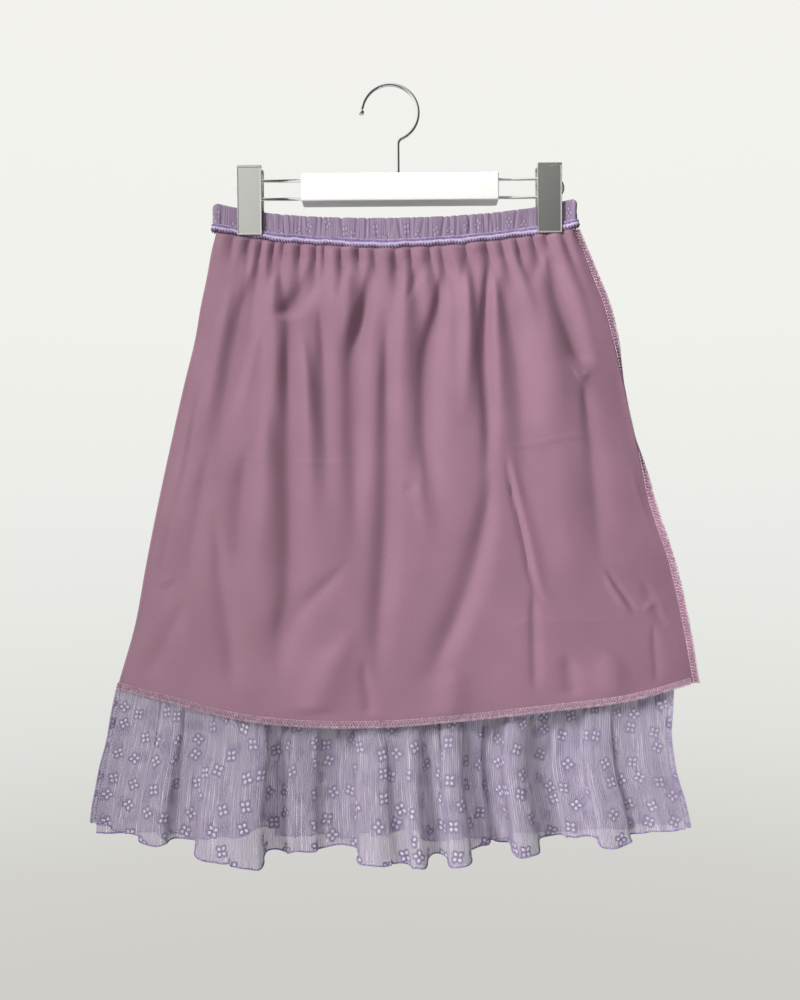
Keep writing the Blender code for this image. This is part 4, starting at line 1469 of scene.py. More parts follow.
@dataclass
class Stitcher:
    """Lays many short threads as one mesh: one stitch is modelled, and its copies are bent to paths."""

    sides: int = 7
    cuts: int = 3
    taper: float = 0.6

    def stitch(self) -> tuple[Array, list[tuple[int, ...]]]:
        """Models one straight stitch from Z 0 to 1, with radius 1.

        Returns:
            Its points and its faces.
        """
        deselect_all()
        bpy.ops.mesh.primitive_cylinder_add(vertices=self.sides, radius=1.0, depth=1.0, location=(0, 0, 0.5))
        bpy.ops.object.transform_apply(location=True)
        piece = bpy.context.active_object
        bpy.ops.object.mode_set(mode="EDIT")
        bpy.ops.mesh.select_mode(type="EDGE")
        bpy.ops.mesh.select_all(action="DESELECT")
        bpy.ops.object.mode_set(mode="OBJECT")
        for line in piece.data.edges:
            low, high = (piece.data.vertices[index].co.z for index in line.vertices)
            line.select = abs(high - low) > 0.5
        bpy.ops.object.mode_set(mode="EDIT")
        bpy.ops.mesh.subdivide(number_cuts=self.cuts)
        bpy.ops.mesh.select_mode(type="VERT")
        bpy.ops.object.mode_set(mode="OBJECT")
        points = np.array([vertex.co[:] for vertex in piece.data.vertices])
        faces = [tuple(face.vertices) for face in piece.data.polygons]
        bpy.data.objects.remove(piece, do_unlink=True)
        return points, faces

    def lay(self, name: str, paths: Array, out: Array, radius: float) -> Piece:
        """Lays a stitch along each path.

        Args:
            name: the piece's name.
            paths: stitches by points by 3, in millimetres, with cuts + 2 points each.
            out: the direction away from the cloth at each path, stitches by 3.
            radius: the thread's radius.

        Returns:
            The threads, as one object.
        """
        unit, faces = self.stitch()
        level = np.rint(unit[:, 2] * (self.cuts + 1)).astype(int)
        narrow = np.where((level == 0) | (level == self.cuts + 1), self.taper, 1.0) * radius
        along = np.gradient(paths, axis=1)
        along /= np.linalg.norm(along, axis=2)[..., None] + 1e-9
        beside = np.cross(along, out[:, None, :])
        beside /= np.linalg.norm(beside, axis=2)[..., None] + 1e-9
        above = np.cross(beside, along)
        spot = paths[:, level]
        spot = spot + beside[:, level] * (unit[:, 0] * narrow)[None, :, None]
        spot = spot + above[:, level] * (unit[:, 1] * narrow)[None, :, None]
        count = len(unit)
        many = [tuple(index + k * count for index in face) for k in range(len(paths)) for face in faces]
        mesh = bpy.data.meshes.new(name)
        mesh.from_pydata((spot.reshape(-1, 3) * MM).tolist(), [], many)
        piece = bpy.data.objects.new(name, mesh)
        bpy.context.scene.collection.objects.link(piece)
        edit(piece, face_outwards)
        bpy.ops.object.shade_smooth()
        return piece


def even_places(curve: Callable[[Array], Points], start: float, end: float, pitch: float) -> Array:
    """Parameters along a curve at an even distance from each other.

    Args:
        curve: points from a parameter.
        start: the first parameter.
        end: the last parameter.
        pitch: the distance.

    Returns:
        The parameters.
    """
    fine = np.linspace(start, end, 3000)
    points = np.stack(np.broadcast_arrays(*curve(fine)), axis=1)
    travel = np.concatenate([[0.0], np.cumsum(np.linalg.norm(np.diff(points, axis=0), axis=1))])
    return np.interp(np.arange(pitch / 2, travel[-1], pitch), travel, fine)


class Station(NamedTuple):
    """A point of a stitch: its place along and into the edge, and its height over the cloth."""

    along: float
    inward: float
    over: float


Thread = tuple[Station, ...]


@dataclass
class Overlock:
    """Overlock stitches along an edge: slanting bars that wrap it, and the needle's line beside it."""

    stitcher: Stitcher
    pitch: float = 2.6
    radius: float = 0.36
    ends: Pair = (0.002, 0.998)
    bar: Thread = tabled(
        Station,
        (-0.9, 5.0, 0.1), (-0.6, 3.6, 0.4), (-0.1, 2.0, 0.5), (0.5, 0.4, 0.45), (0.8, -0.5, -0.3),
    )
    back_bar: Thread = tabled(
        Station,
        (0.9, 5.0, 0.1), (0.6, 3.6, 0.3), (0.1, 2.0, 0.3), (-0.5, 0.4, 0.3), (-0.8, -0.5, -0.3),
    )
    needle: Thread = tabled(
        Station,
        (-0.9, 5.1, 0.05), (-0.5, 5.2, 0.42), (0.0, 5.2, 0.5), (0.5, 5.2, 0.42), (0.9, 5.1, 0.05),
    )
    edge: Thread = tabled(
        Station,
        (-1.0, 1.3, 0.4), (-0.7, -0.3, 0.4), (0.0, -0.8, 0.3), (0.7, -0.3, 0.4), (1.0, 1.3, 0.4),
    )

    @property
    def seam_parts(self) -> list[Thread]:
        """The threads that show along a side seam."""
        return [self.bar, self.edge, self.needle]

    @property
    def hem_parts(self) -> list[Thread]:
        """The threads that show along a hem, whose bars cross."""
        return [self.bar, self.back_bar, self.edge, self.needle]

    def sew(
        self,
        name: str,
        surface: Surface,
        start: float,
        end: float,
        out: Triple,
        parts: Sequence[Thread],
    ) -> Piece:
        """Sews along an edge.

        Args:
            name: the threads' name.
            surface: points from a parameter along, a distance inward and a height over the cloth.
            start: the first parameter along.
            end: the last parameter along.
            out: roughly the direction away from the cloth.
            parts: which of the stitch's threads are laid.

        Returns:
            The threads, as one object.
        """
        zero = np.zeros(1)
        places = even_places(lambda at: surface(at, zero, zero), start, end, self.pitch)
        step = np.gradient(places)
        paths = []
        for stations in parts:
            table = np.array(stations)
            at = np.clip(places[:, None] + step[:, None] * table[:, 0] / 2, min(start, end), max(start, end))
            inward, over = (np.broadcast_to(table[:, column], at.shape) for column in (1, 2))
            paths.append(np.stack(np.broadcast_arrays(*surface(at, inward, over)), axis=2))
        laid = np.concatenate(paths)
        outs = np.broadcast_to(np.array(out, float), (len(laid), 3))
        return self.stitcher.lay(name, laid, outs, self.radius)


@dataclass
class Lining:
    """The satin lining, which is outside: two panels, the seam allowances and the overlocking."""

    places: ClothPlaces
    wardrobe: Wardrobe
    overlock: Overlock
    wall: float = 0.5
    front_grid: Cells = (236, 190)
    back_grid: Cells = (150, 124)
    row_power: float = 1.25  # rows are closer together at the gathers
    front_cut: Pair = (0.600, 0.437)
    back_cut: Pair = (0.580, 0.437)
    front_area: float = 0.220
    back_area: float = 0.205
    lap_wall: float = 1.1
    lap_grid: Cells = (4, 200)
    lap_overlap: float = 0.6
    lap_ripple: tuple[Swing, ...] = (Swing(0.5, 1 / 9.0), Swing(0.35, 1 / 4.1))
    left_lap_phases: Pair = (0.05, 0.36)
    lap_lift: float = 0.1
    lap_tops: Pair = (0.6, 9.0)
    seam_pitch: float = 2.9
    seam_thread: float = 0.44

    def drop(self, down: Array) -> Array:
        """Distance below the waist seam at a share of the way down."""
        cover = self.places.form.seam_cover
        return -cover + (self.places.form.lining_length + cover) * down**self.row_power

    def build(self) -> None:
        laps_of = {"front": "right", "back": "left"}
        grids = (self.front_grid, self.back_grid)
        surfaces = (self.places.front_lining, self.places.back_lining)
        panels = [
            grid_sheet(f"lining_{name}_satin", *grid, lambda across, down, at=at: at(across, self.drop(down)))
            for name, grid, at in zip(laps_of, grids, surfaces)
        ]
        for panel, name in zip(panels, laps_of):
            thicken(panel, self.wall)
            dress(panel, self.wardrobe.satin, [f"lining_{name}"])
        laps, hems = self.build_allowances(), self.sew_hems()

    def right_lap(self, reach: Values, drop: Values, over: Values) -> Points:
        """Points on the right seam's allowance, which stands out from the edge.

        Args:
            reach: distances out from the panel's edge.
            drop: distances down from the waist seam.
            over: distances out from the face.

        Returns:
            X, Y and Z.
        """
        form = self.places.form
        z = self.places.lining_z(np.ones(np.shape(drop)), drop)
        _, right = form.edges(LINING_EDGES, z)
        angle = np.radians(read(ALLOWANCE_TURNS, "z", "angle", z))
        x = right - self.lap_overlap + reach * np.cos(angle) + over * np.sin(angle)
        y = reach * np.sin(angle) - over * np.cos(angle) + sway(z, self.lap_ripple) * reach / form.allowance
        return x, y, z

    def left_lap(self, reach: Values, drop: Values, over: Values) -> Points:
        """Points on the left seam's allowance, which lies on the back beside the fold."""
        phase = lerp(*self.left_lap_phases, reach / self.places.form.allowance)
        return self.places.lining(Side.BACK, phase, drop, over + self.lap_lift)

    def build_allowances(self) -> dict[str, Piece]:
        """Builds both side seams' allowances with their overlocking."""
        form, length, half = self.places.form, self.places.form.lining_length, self.lap_wall / 2
        made = {}
        laps = (self.right_lap, self.left_lap)
        for side, lap, top, out in zip(("right", "left"), laps, self.lap_tops, OUTWARDS):

            def face(across: Array, down: Array, lap: Surface = lap, top: float = top) -> Points:
                """Points on the allowance's outer face."""
                return lap(form.allowance * (1 - across), lerp(top, length, down), half)

            cloth = folded_strip(f"lining_seam_{side}_satin", self.lap_grid, self.lap_wall, face)
            dress(cloth, self.wardrobe.satin, [f"lining_seam_{side}"])

            def along(at: Array, inward: Array, over: Array, lap: Surface = lap) -> Points:
                """Points over the allowance's edge."""
                return lap(form.allowance - inward, at, over + half)

            coarse = Overlock(self.overlock.stitcher, self.seam_pitch, self.seam_thread)
            threads = coarse.sew(f"lining_seam_{side}_overlock", along, top, length, out, coarse.seam_parts)
            dress(threads, self.wardrobe.mauve_thread)
            made[side] = cloth
        return made

    def sew_hems(self) -> dict[str, Piece]:
        """Overlocks both panels' lower edges."""
        length = self.places.form.lining_length
        made = {}
        surfaces = (self.places.front_lining, self.places.back_lining)
        for name, surface, out in zip(("front", "back"), surfaces, OUTWARDS):

            def along(at: Array, inward: Array, over: Array, surface: Callable = surface) -> Points:
                """Points over the panel's lower edge."""
                return surface(at, length - inward, over)

            start, end = self.overlock.ends
            parts = self.overlock.hem_parts
            threads = self.overlock.sew(f"lining_hem_{name}_overlock", along, start, end, out, parts)
            dress(threads, self.wardrobe.mauve_thread)
            made[name] = threads
        return made


@dataclass
class OuterPanels:
    """The sheer outer panels, between the lining and the hollow."""

    places: ClothPlaces
    wardrobe: Wardrobe
    wall: float = 0.4
    grid: Cells = (70, 50)
    cut: Pair = (0.500, 0.350)
    area: float = 0.145

    def build(self) -> None:
        """Builds both panels."""
        for side in Side:
            name = side.name.lower()

            def place(across: Array, down: Array, side: Side = side) -> Points:
                """Points on the panel."""
                return self.places.outer(side, across if side is Side.FRONT else 1 - across, down)

            panel = grid_sheet(f"outer_{name}_sheer", *self.grid, place)
            thicken(panel, self.wall)
            dress(panel, self.wardrobe.sheer, [f"outer_{name}"])


@dataclass
class Ruffle:
    """The gathered ruffle: two halves, their rolled hems and their overlocked side seams."""

    places: ClothPlaces
    wardrobe: Wardrobe
    overlock: Overlock
    wall: float = 0.4
    front_grid: Cells = (330, 76)
    back_grid: Cells = (220, 54)
    cut: Pair = (0.860, 0.212)
    area: float = 0.150
    hem_radius: float = 0.7
    hem_pitch: float = 2.6
    hem_drop: float = 0.2
    hem_swell: float = 0.16
    hem_steps: int = 4  # points of its path for each wrapping thread
    hem_sides: int = 7
    lap_wall: float = 0.9
    lap_grid: Cells = (4, 120)
    lap_overlap: float = 0.3
    lap_sway: tuple[Swing, ...] = (Swing(0.7, 1 / 7.0),)
    lap_span: Pair = (0.3, 0.995)  # what shows of it, from the ruffle's seam to its hem
    lap_narrowing: float = 0.8

    def build(self) -> None:
        steps = len(RUFFLE_WAVES) - 1
        laps = {Side.FRONT: self.build_side_seam(1), Side.BACK: self.build_side_seam(0)}
        for side, grid in ((Side.FRONT, self.front_grid), (Side.BACK, self.back_grid)):
            name = side.name.lower()

            def place(across: Array, down: Array, side: Side = side) -> Points:
                """Points on this half."""
                along = across if side is Side.FRONT else 1 - across
                return self.places.ruffle(side, along * steps, down)

            half = grid_sheet(f"ruffle_{name}_sheer", *grid, place)
            thicken(half, self.wall)
            dress(half, self.wardrobe.sheer, [f"ruffle_{name}"])
            hem = self.roll_hem(side, steps)

    def roll_hem(self, side: Side, steps: int) -> Piece:
        """The narrow rolled hem, with the swell of each thread that wraps it.

        Args:
            side: front or back.
            steps: how many waves apart its ends are.

        Returns:
            The piece.
        """
        name = side.name.lower()

        def rim(at: Array) -> Points:
            """Points on the lower edge's middle line."""
            return self.places.ruffle(side, at, np.ones(np.shape(at)), -self.wall / 2, self.hem_drop)

        places = even_places(rim, 0.0, float(steps), self.hem_pitch / self.hem_steps)
        path = np.stack(rim(places), axis=1)
        swell = 1 + self.hem_swell * np.cos(2 * math.pi * np.arange(len(path)) / self.hem_steps)
        hem = tube(f"ruffle_hem_{name}_rolled", path, self.hem_radius * swell, self.hem_sides)
        dress(hem, self.wardrobe.purple_thread, [f"ruffle_hem_{name}"])
        return hem

    def side_point(self, end: int, reach: Values, down: Values, over: Values) -> Points:
        """Points on a side seam's allowance: end is 0 at the left and 1 at the right.

        Args:
            end: 0 at the left, 1 at the right.
            reach: distances out from the panel's edge.
            down: shares of the way down.
            over: distances out from the face.

        Returns:
            X, Y and Z.
        """
        form = self.places.form
        hem = (RUFFLE_WAVES[0].z, RUFFLE_WAVES[-1].z)[end]
        z = lerp(form.ruffle_top, hem, down)
        edge = form.edges(OUTER_EDGES, z)[end]
        y = sway(z, self.lap_sway) * reach / form.ruffle_allowance - over
        return edge + (reach - self.lap_overlap) * (1 if end else -1), y, z

    def build_side_seam(self, end: int) -> Piece:
        """Builds one side seam's allowance and its threads.

        Args:
            end: 0 at the left, 1 at the right.

        Returns:
            The piece.
        """
        form, side, half = self.places.form, ("left", "right")[end], self.lap_wall / 2
        start, stop = self.lap_span

        def face(across: Array, down: Array) -> Points:
            """Points on the allowance's outer face."""
            return self.side_point(end, form.ruffle_allowance * across, lerp(start, 1.0, down), half)

        lap = folded_strip(f"ruffle_seam_{side}_sheer", self.lap_grid, self.lap_wall, face)
        dress(lap, self.wardrobe.sheer, [f"ruffle_seam_{side}"])

        def along(at: Array, inward: Array, over: Array) -> Points:
            """Points over the allowance's edge."""
            return self.side_point(end, form.ruffle_allowance - inward * self.lap_narrowing, at, over + half)

        parts = self.overlock.seam_parts
        threads = self.overlock.sew(f"ruffle_seam_{side}_overlock", along, start, stop, OUTWARDS[0], parts)
        dress(threads, self.wardrobe.purple_thread)
        return lap


class Ruche(NamedTuple):
    """A valley between the band's ruches, with the shares of its height where it is deepest and narrowest."""

    place: float
    depth: float
    width: float
    slant: float
    centre: float
    extent: float


@dataclass(frozen=True)
class RucheSizes:
    """The ranges of the band's ruches."""

    seed: int = 21
    first: float = 4.0
    last: float = 5.0  # before the band's end
    depth: float = 1.8
    depth_power: float = 1.5
    share: Spread = Spread(0.25, 1.0)
    width: Spread = Spread(0.7, 1.5)
    slant: Spread = Spread(-4.5, 4.5)
    centre: Spread = Spread(-0.1, 1.1)
    extent: Spread = Spread(0.45, 1.6)
    step: Spread = Spread(2.4, 7.4)

    def along(self, length: float) -> tuple[Ruche, ...]:
        """Ruches along a band of a length."""
        source, made, place = np.random.default_rng(self.seed), [], self.first
        while place < length - self.last:
            depth = self.depth * self.share.draw(source) ** self.depth_power
            sizes = (each.draw(source) for each in (self.width, self.slant, self.centre, self.extent))
            made.append(Ruche(place, depth, *sizes))
            place += self.step.draw(source)
        return tuple(made)


@dataclass
class Waist:
    """The ruched elastic band and the gathered, overlocked seam below it."""

    places: ClothPlaces
    wardrobe: Wardrobe
    overlock: Overlock
    band_grid: Cells = (780, 34)
    seam_grid: Cells = (900, 18)
    band_wall: float = 2.5
    band_cut: Pair = (0.820, 0.029)
    fullness: float = 1.7
    relief: float = 1.5
    relief_rises: Pair = (4.0, 3.0)  # over which valleys and ridges start
    inner_share: float = -0.25
    scallop: float = 0.35
    scallop_from: float = 0.6
    seam_height: float = 7.4
    seam_wave: tuple[Swing, ...] = (Swing(0.5, 1 / 5.3), Swing(0.35, 1 / 2.3, 1.3), Swing(0.4, 1 / 13.0))
    seam_still: float = 9.0  # the height where the wave ends
    seam_lift: tuple[Swing, ...] = (Swing(0.2, 1 / 3.7),)
    roll_height: float = 3.0
    roll_width: float = 1.3
    roll_rise: float = 0.9
    twist_share: float = 0.25
    twist_rate: float = 1 / 0.55
    twist_wander: tuple[Swing, ...] = (Swing(2.0, 1 / 7.0),)
    upper_step: Triple = (0.7, 3.8, 1.2)  # depth, height and span
    lower_step: Triple = (0.6, 1.6, 1.4)
    upper_pitch: float = 1.25
    upper_thread: float = 0.5
    upper_stitch: Thread = tabled(
        Station,
        (-0.7, 7.3, -0.4), (-0.5, 6.6, 0.25), (0.0, 5.8, 0.3), (0.5, 5.0, 0.25), (0.7, 4.3, -0.3),
    )
    lower_pitch: float = 2.8
    lower_thread: float = 0.52
    lower_stitch: Thread = tabled(
        Station,
        (-0.4, 2.3, 0.1), (-0.3, 1.5, 0.5), (0.0, 0.7, 0.6), (0.3, 0.0, 0.5), (0.4, -0.7, -0.4),
    )
    ruches: tuple[Ruche, ...] = field(init=False)

    def __post_init__(self) -> None:
        """Draws the ruches round the band."""
        self.ruches = RucheSizes().along(self.places.form.ring_length)

    def build(self) -> None:
        band = grid_sheet("waistband_ruched_sheer", *self.band_grid, self.band_point, self.fullness)
        edit(band, merge_doubles, face_outwards)
        dress(band, self.wardrobe.backed_sheer, ["waistband"])
        seam = grid_sheet("waist_seam_cloth", *self.seam_grid, self.seam_point)
        edit(seam, merge_doubles, face_outwards)
        dress(seam, self.wardrobe.seam_cloth, ["waist_seam"])
        self.sew_seam()
        LOG.info("waist: %.0f mm round", self.places.form.ring_length)

    def sew_seam(self) -> None:
        """Sews close slanting threads over the seam's upper part, and dark loops round its lower edge, whose
        darkness also paints the shade between them.
        """
        finishes, stitcher = self.wardrobe, self.overlock.stitcher
        upper = Overlock(stitcher, self.upper_pitch, self.upper_thread)
        lower = Overlock(stitcher, self.lower_pitch, self.lower_thread)
        rows = (
            ("upper", upper, self.upper_stitch, finishes.purple_thread),
            # The lower loops are dark, which also paints the shade between them.
            ("lower", lower, self.lower_stitch, finishes.violet_thread_painted_shade),
        )
        for name, start, end, out in zip(("front", "back"), (0.0, 0.5), (0.5, 1.0), OUTWARDS):
            for row, closer, stitch, finish in rows:
                threads = closer.sew(f"waist_seam_{row}_{name}", self.seam_surface, start, end, out, [stitch])
                dress(threads, finish)

    def ruching(self, travel: Values, height: Values) -> Array:
        """How deep the ruches' valleys are: 0 on their ridges.

        Args:
            travel: distances round the waist.
            height: shares of the band's height.

        Returns:
            Depths.
        """
        total = np.zeros(np.broadcast(travel, height).shape)
        for ruche in self.ruches:
            up = height - ruche.centre
            away = (travel - ruche.place - ruche.slant * up) / ruche.width
            total += ruche.depth * np.exp(-away * away - (up / ruche.extent) ** 2)
        return total

    def section(self, share: Array, height: Values, wall: float) -> tuple[Array, Array]:
        """Round a closed section: up its outer face, over a round top, and down its inner face.

        Args:
            share: 0 to 1 round the section.
            height: its full height.
            wall: its thickness.

        Returns:
            Distance out from the outer face, and height.
        """
        radius = wall / 2
        straight = height - radius
        round_top = math.pi * radius
        total = 2 * straight + round_top + wall
        travel = share * total
        angle = np.clip((travel - straight) / radius, 0.0, math.pi)
        lift = -radius + radius * np.cos(angle)
        rise = np.minimum(travel, straight) + radius * np.sin(angle)
        down = np.maximum(0.0, travel - straight - round_top)
        rise = np.where(down > 0, np.maximum(0.0, straight - down), rise)
        under = np.maximum(0.0, down - straight)
        lift = np.where(under > 0, -wall + under, lift)
        return lift, rise

    def band_point(self, across: Array, down: Array) -> Points:
        """Points on the band.

        Args:
            across: shares of the way round.
            down: shares of the way round its section.

        Returns:
            X, Y and Z.
        """
        form = self.places.form
        travel = across * form.ring_length
        x, _ = form.ring(travel, 0.0)
        bottom = form.seam_z(x) + form.seam_cover + form.gap
        full = form.band_top_z(x) - bottom
        lift, rise = self.section(1 - down, full, self.band_wall)
        valley_rise, ridge_rise = self.relief_rises
        valleys = self.ruching(travel, rise / full) * (1 - form.clipped(x))
        ridge = self.relief * (1 - form.clipped(x)) * smooth(rise / ridge_rise)
        ridge = ridge - valleys * smooth(rise / valley_rise)
        ridge *= np.where(lift > -self.band_wall / 2, 1.0, self.inner_share)
        x, y = form.ring(travel, lift + ridge)
        near_top = smooth((rise / full - self.scallop_from) / (1 - self.scallop_from))
        return x, y, bottom + rise - self.scallop * valleys * near_top

    def seam_surface(self, at: Values, inward: Values, over: Values) -> Points:
        """Points over the seam's outer face: inward is the height above its lower edge.

        Args:
            at: shares of the way round.
            inward: heights above its lower edge.
            over: distances out from the face.

        Returns:
            X, Y and Z.
        """
        form = self.places.form
        travel = at * form.ring_length
        x, _ = form.ring(travel, 0.0)
        roll = self.roll_rise * np.exp(-(((inward - self.roll_height) / self.roll_width) ** 2))
        turns = np.sin(self.twist_rate * travel + sway(travel, self.twist_wander))
        roll = roll * (1 - self.twist_share + self.twist_share * turns)
        above, from_above, span_above = self.upper_step
        below, from_below, span_below = self.lower_step
        lift = form.gap + form.seam_wall + sway(travel, self.seam_lift) + over + roll
        lift = lift - above * smooth((inward - from_above) / span_above)
        lift = lift - below * smooth((from_below - inward) / span_below)
        x, y = form.ring(travel, lift)
        return x, y, form.seam_z(x) + inward + sway(travel, self.seam_wave) * (1 - inward / self.seam_still)

    def seam_point(self, across: Array, down: Array) -> Points:
        """Points round the seam's closed section.

        Args:
            across: shares of the way round.
            down: shares of the way round its section.

        Returns:
            X, Y and Z.
        """
        wall, height = self.places.form.seam_wall, self.seam_height
        lift, rise = self.section(1 - down, np.full(np.shape(down), height), wall)
        return self.seam_surface(across, height - rise, lift)


class Ball(NamedTuple):
    """The ball at the hook's tip."""

    diameter: float
    steps: int
    trim: float


@dataclass
class Hanger:
    """The hanger: a chromed hook, a lacquered block, two chromed rails and two plated clips."""

    wardrobe: Wardrobe
    wire: float = 3.45
    hook_radius: float = 26.2
    tip_angle: float = 173.0
    neck_angle: float = -66.0
    neck_radius: float = 6.0
    ball: Ball = Ball(5.4, 16, 0.35)
    block_size: Triple = (182.0, 19.0, 26.0)
    block_centre: Triple = (9.0, 0.0, -96.0)
    block_edge: float = 1.6
    rail_wire: float = 2.8
    rail_high: float = -87.1
    rail_low: float = -104.1
    rail_ends: Pair = (-144.0, 162.0)
    gap: float = 0.3

    def build(self) -> None:
        """Builds the hanger's own pieces."""
        self.build_hook()
        self.build_block()
        for end, name in zip(self.rail_ends, ("left", "right")):
            side = -1 if name == "left" else 1
            root = self.block_centre[0] + side * self.block_size[0] / 2
            rail = tube(f"rail_{name}_wire", self.rail_path(end, root, side), self.rail_wire / 2, 20)
            dress(rail, self.wardrobe.chrome, [f"hanger_rail_{name}"])

    @staticmethod
    def arc(centre: Pair, radius: float, start: float, end: float, steps: int) -> list[tuple]:
        """Points of an arc in the hanger's plane, as (x, z), from start to end in degrees."""
        turns = np.radians(np.linspace(start, end, steps + 1))
        return [(centre[0] + radius * math.cos(t), centre[1] + radius * math.sin(t)) for t in turns]

    def build_hook(self) -> None:
        """The hook: one wire from its ball end over the bow to its shank."""
        centre_z = self.wire / 2 - self.hook_radius
        bow = self.arc((0.0, centre_z), self.hook_radius, self.tip_angle, self.neck_angle, 90)
        toward = math.radians(self.neck_angle)
        end_x, end_z = bow[-1]
        bend = (end_x + self.neck_radius * math.cos(toward), end_z + self.neck_radius * math.sin(toward))
        neck = self.arc(bend, self.neck_radius, self.neck_angle + 180, 180, 18)[1:]
        foot_z = self.block_centre[2] + self.block_size[2] / 2 + self.gap
        foot_x = bend[0] - self.neck_radius
        shank = [(foot_x, z) for z in np.linspace(neck[-1][1], foot_z, 8)[1:]]
        tip, after = np.array(bow[0]), np.array(bow[1])
        along = (tip - after) / np.linalg.norm(tip - after)
        radius, steps, trim = self.ball.diameter / 2, self.ball.steps, self.ball.trim
        points, radii = [], []
        for step in range(steps + 1):
            out = radius * math.cos(math.pi * (step + trim) / (steps + 2 * trim))
            points.append(tuple(tip + along * (out + radius)))
            radii.append(math.sqrt(radius * radius - out * out))
        path = points + bow[1:] + neck + shank
        radii += [self.wire / 2] * (len(path) - len(points))
        wire = tube("hook_wire", np.array([(x, 0.0, z) for x, z in path]), np.array(radii), 24)
        dress(wire, self.wardrobe.chrome, ["hanger_hook"])

    def rail_path(self, end: float, root: float, side: int) -> Array:
        """One end's rail: out along the top, round the end and back along the bottom.

        Args:
            end: X of the rail's outer end.
            root: X of the block's end.
            side: -1 at the left, 1 at the right.

        Returns:
            The path, n by 3.
        """
        radius = (self.rail_high - self.rail_low) / 2
        middle = (self.rail_high + self.rail_low) / 2
        turn_x = end - side * (radius + self.rail_wire / 2)
        stop = -90.0 if side > 0 else 270.0
        turn = self.arc((turn_x, middle), radius, 90.0, stop, 32)
        path = [(root + side * self.gap, self.rail_high)] + turn + [(root + side * self.gap, self.rail_low)]
        return np.array([(x, 0.0, z) for x, z in path])

    def build_block(self) -> None:
        """The lacquered block, with soft edges."""
        block = cuboid(self.block_size, self.block_centre)
        bevelled(block, self.block_edge, 4)
        shade_smooth_to(40)
        block.name = block.data.name = "block_lacquered"
        dress(block, self.wardrobe.lacquer, ["hanger_block"])


@dataclass(frozen=True)
class HingeSizes:
    """The sizes of a clip's ears, pin and spring."""

    ear_radius: float = 6.2
    ear_wall: float = 1.0
    ear_edge: float = 0.2
    pin_radii: tuple[float, ...] = (1.0, 1.5, 1.3, 1.3, 1.5, 1.0)
    pin_reach: float = 0.4
    coil_radius: float = 3.4
    coil_turns: int = 7
    coil_steps: int = 20
    coil_inset: float = 1.6
    coil_wire: float = 1.2


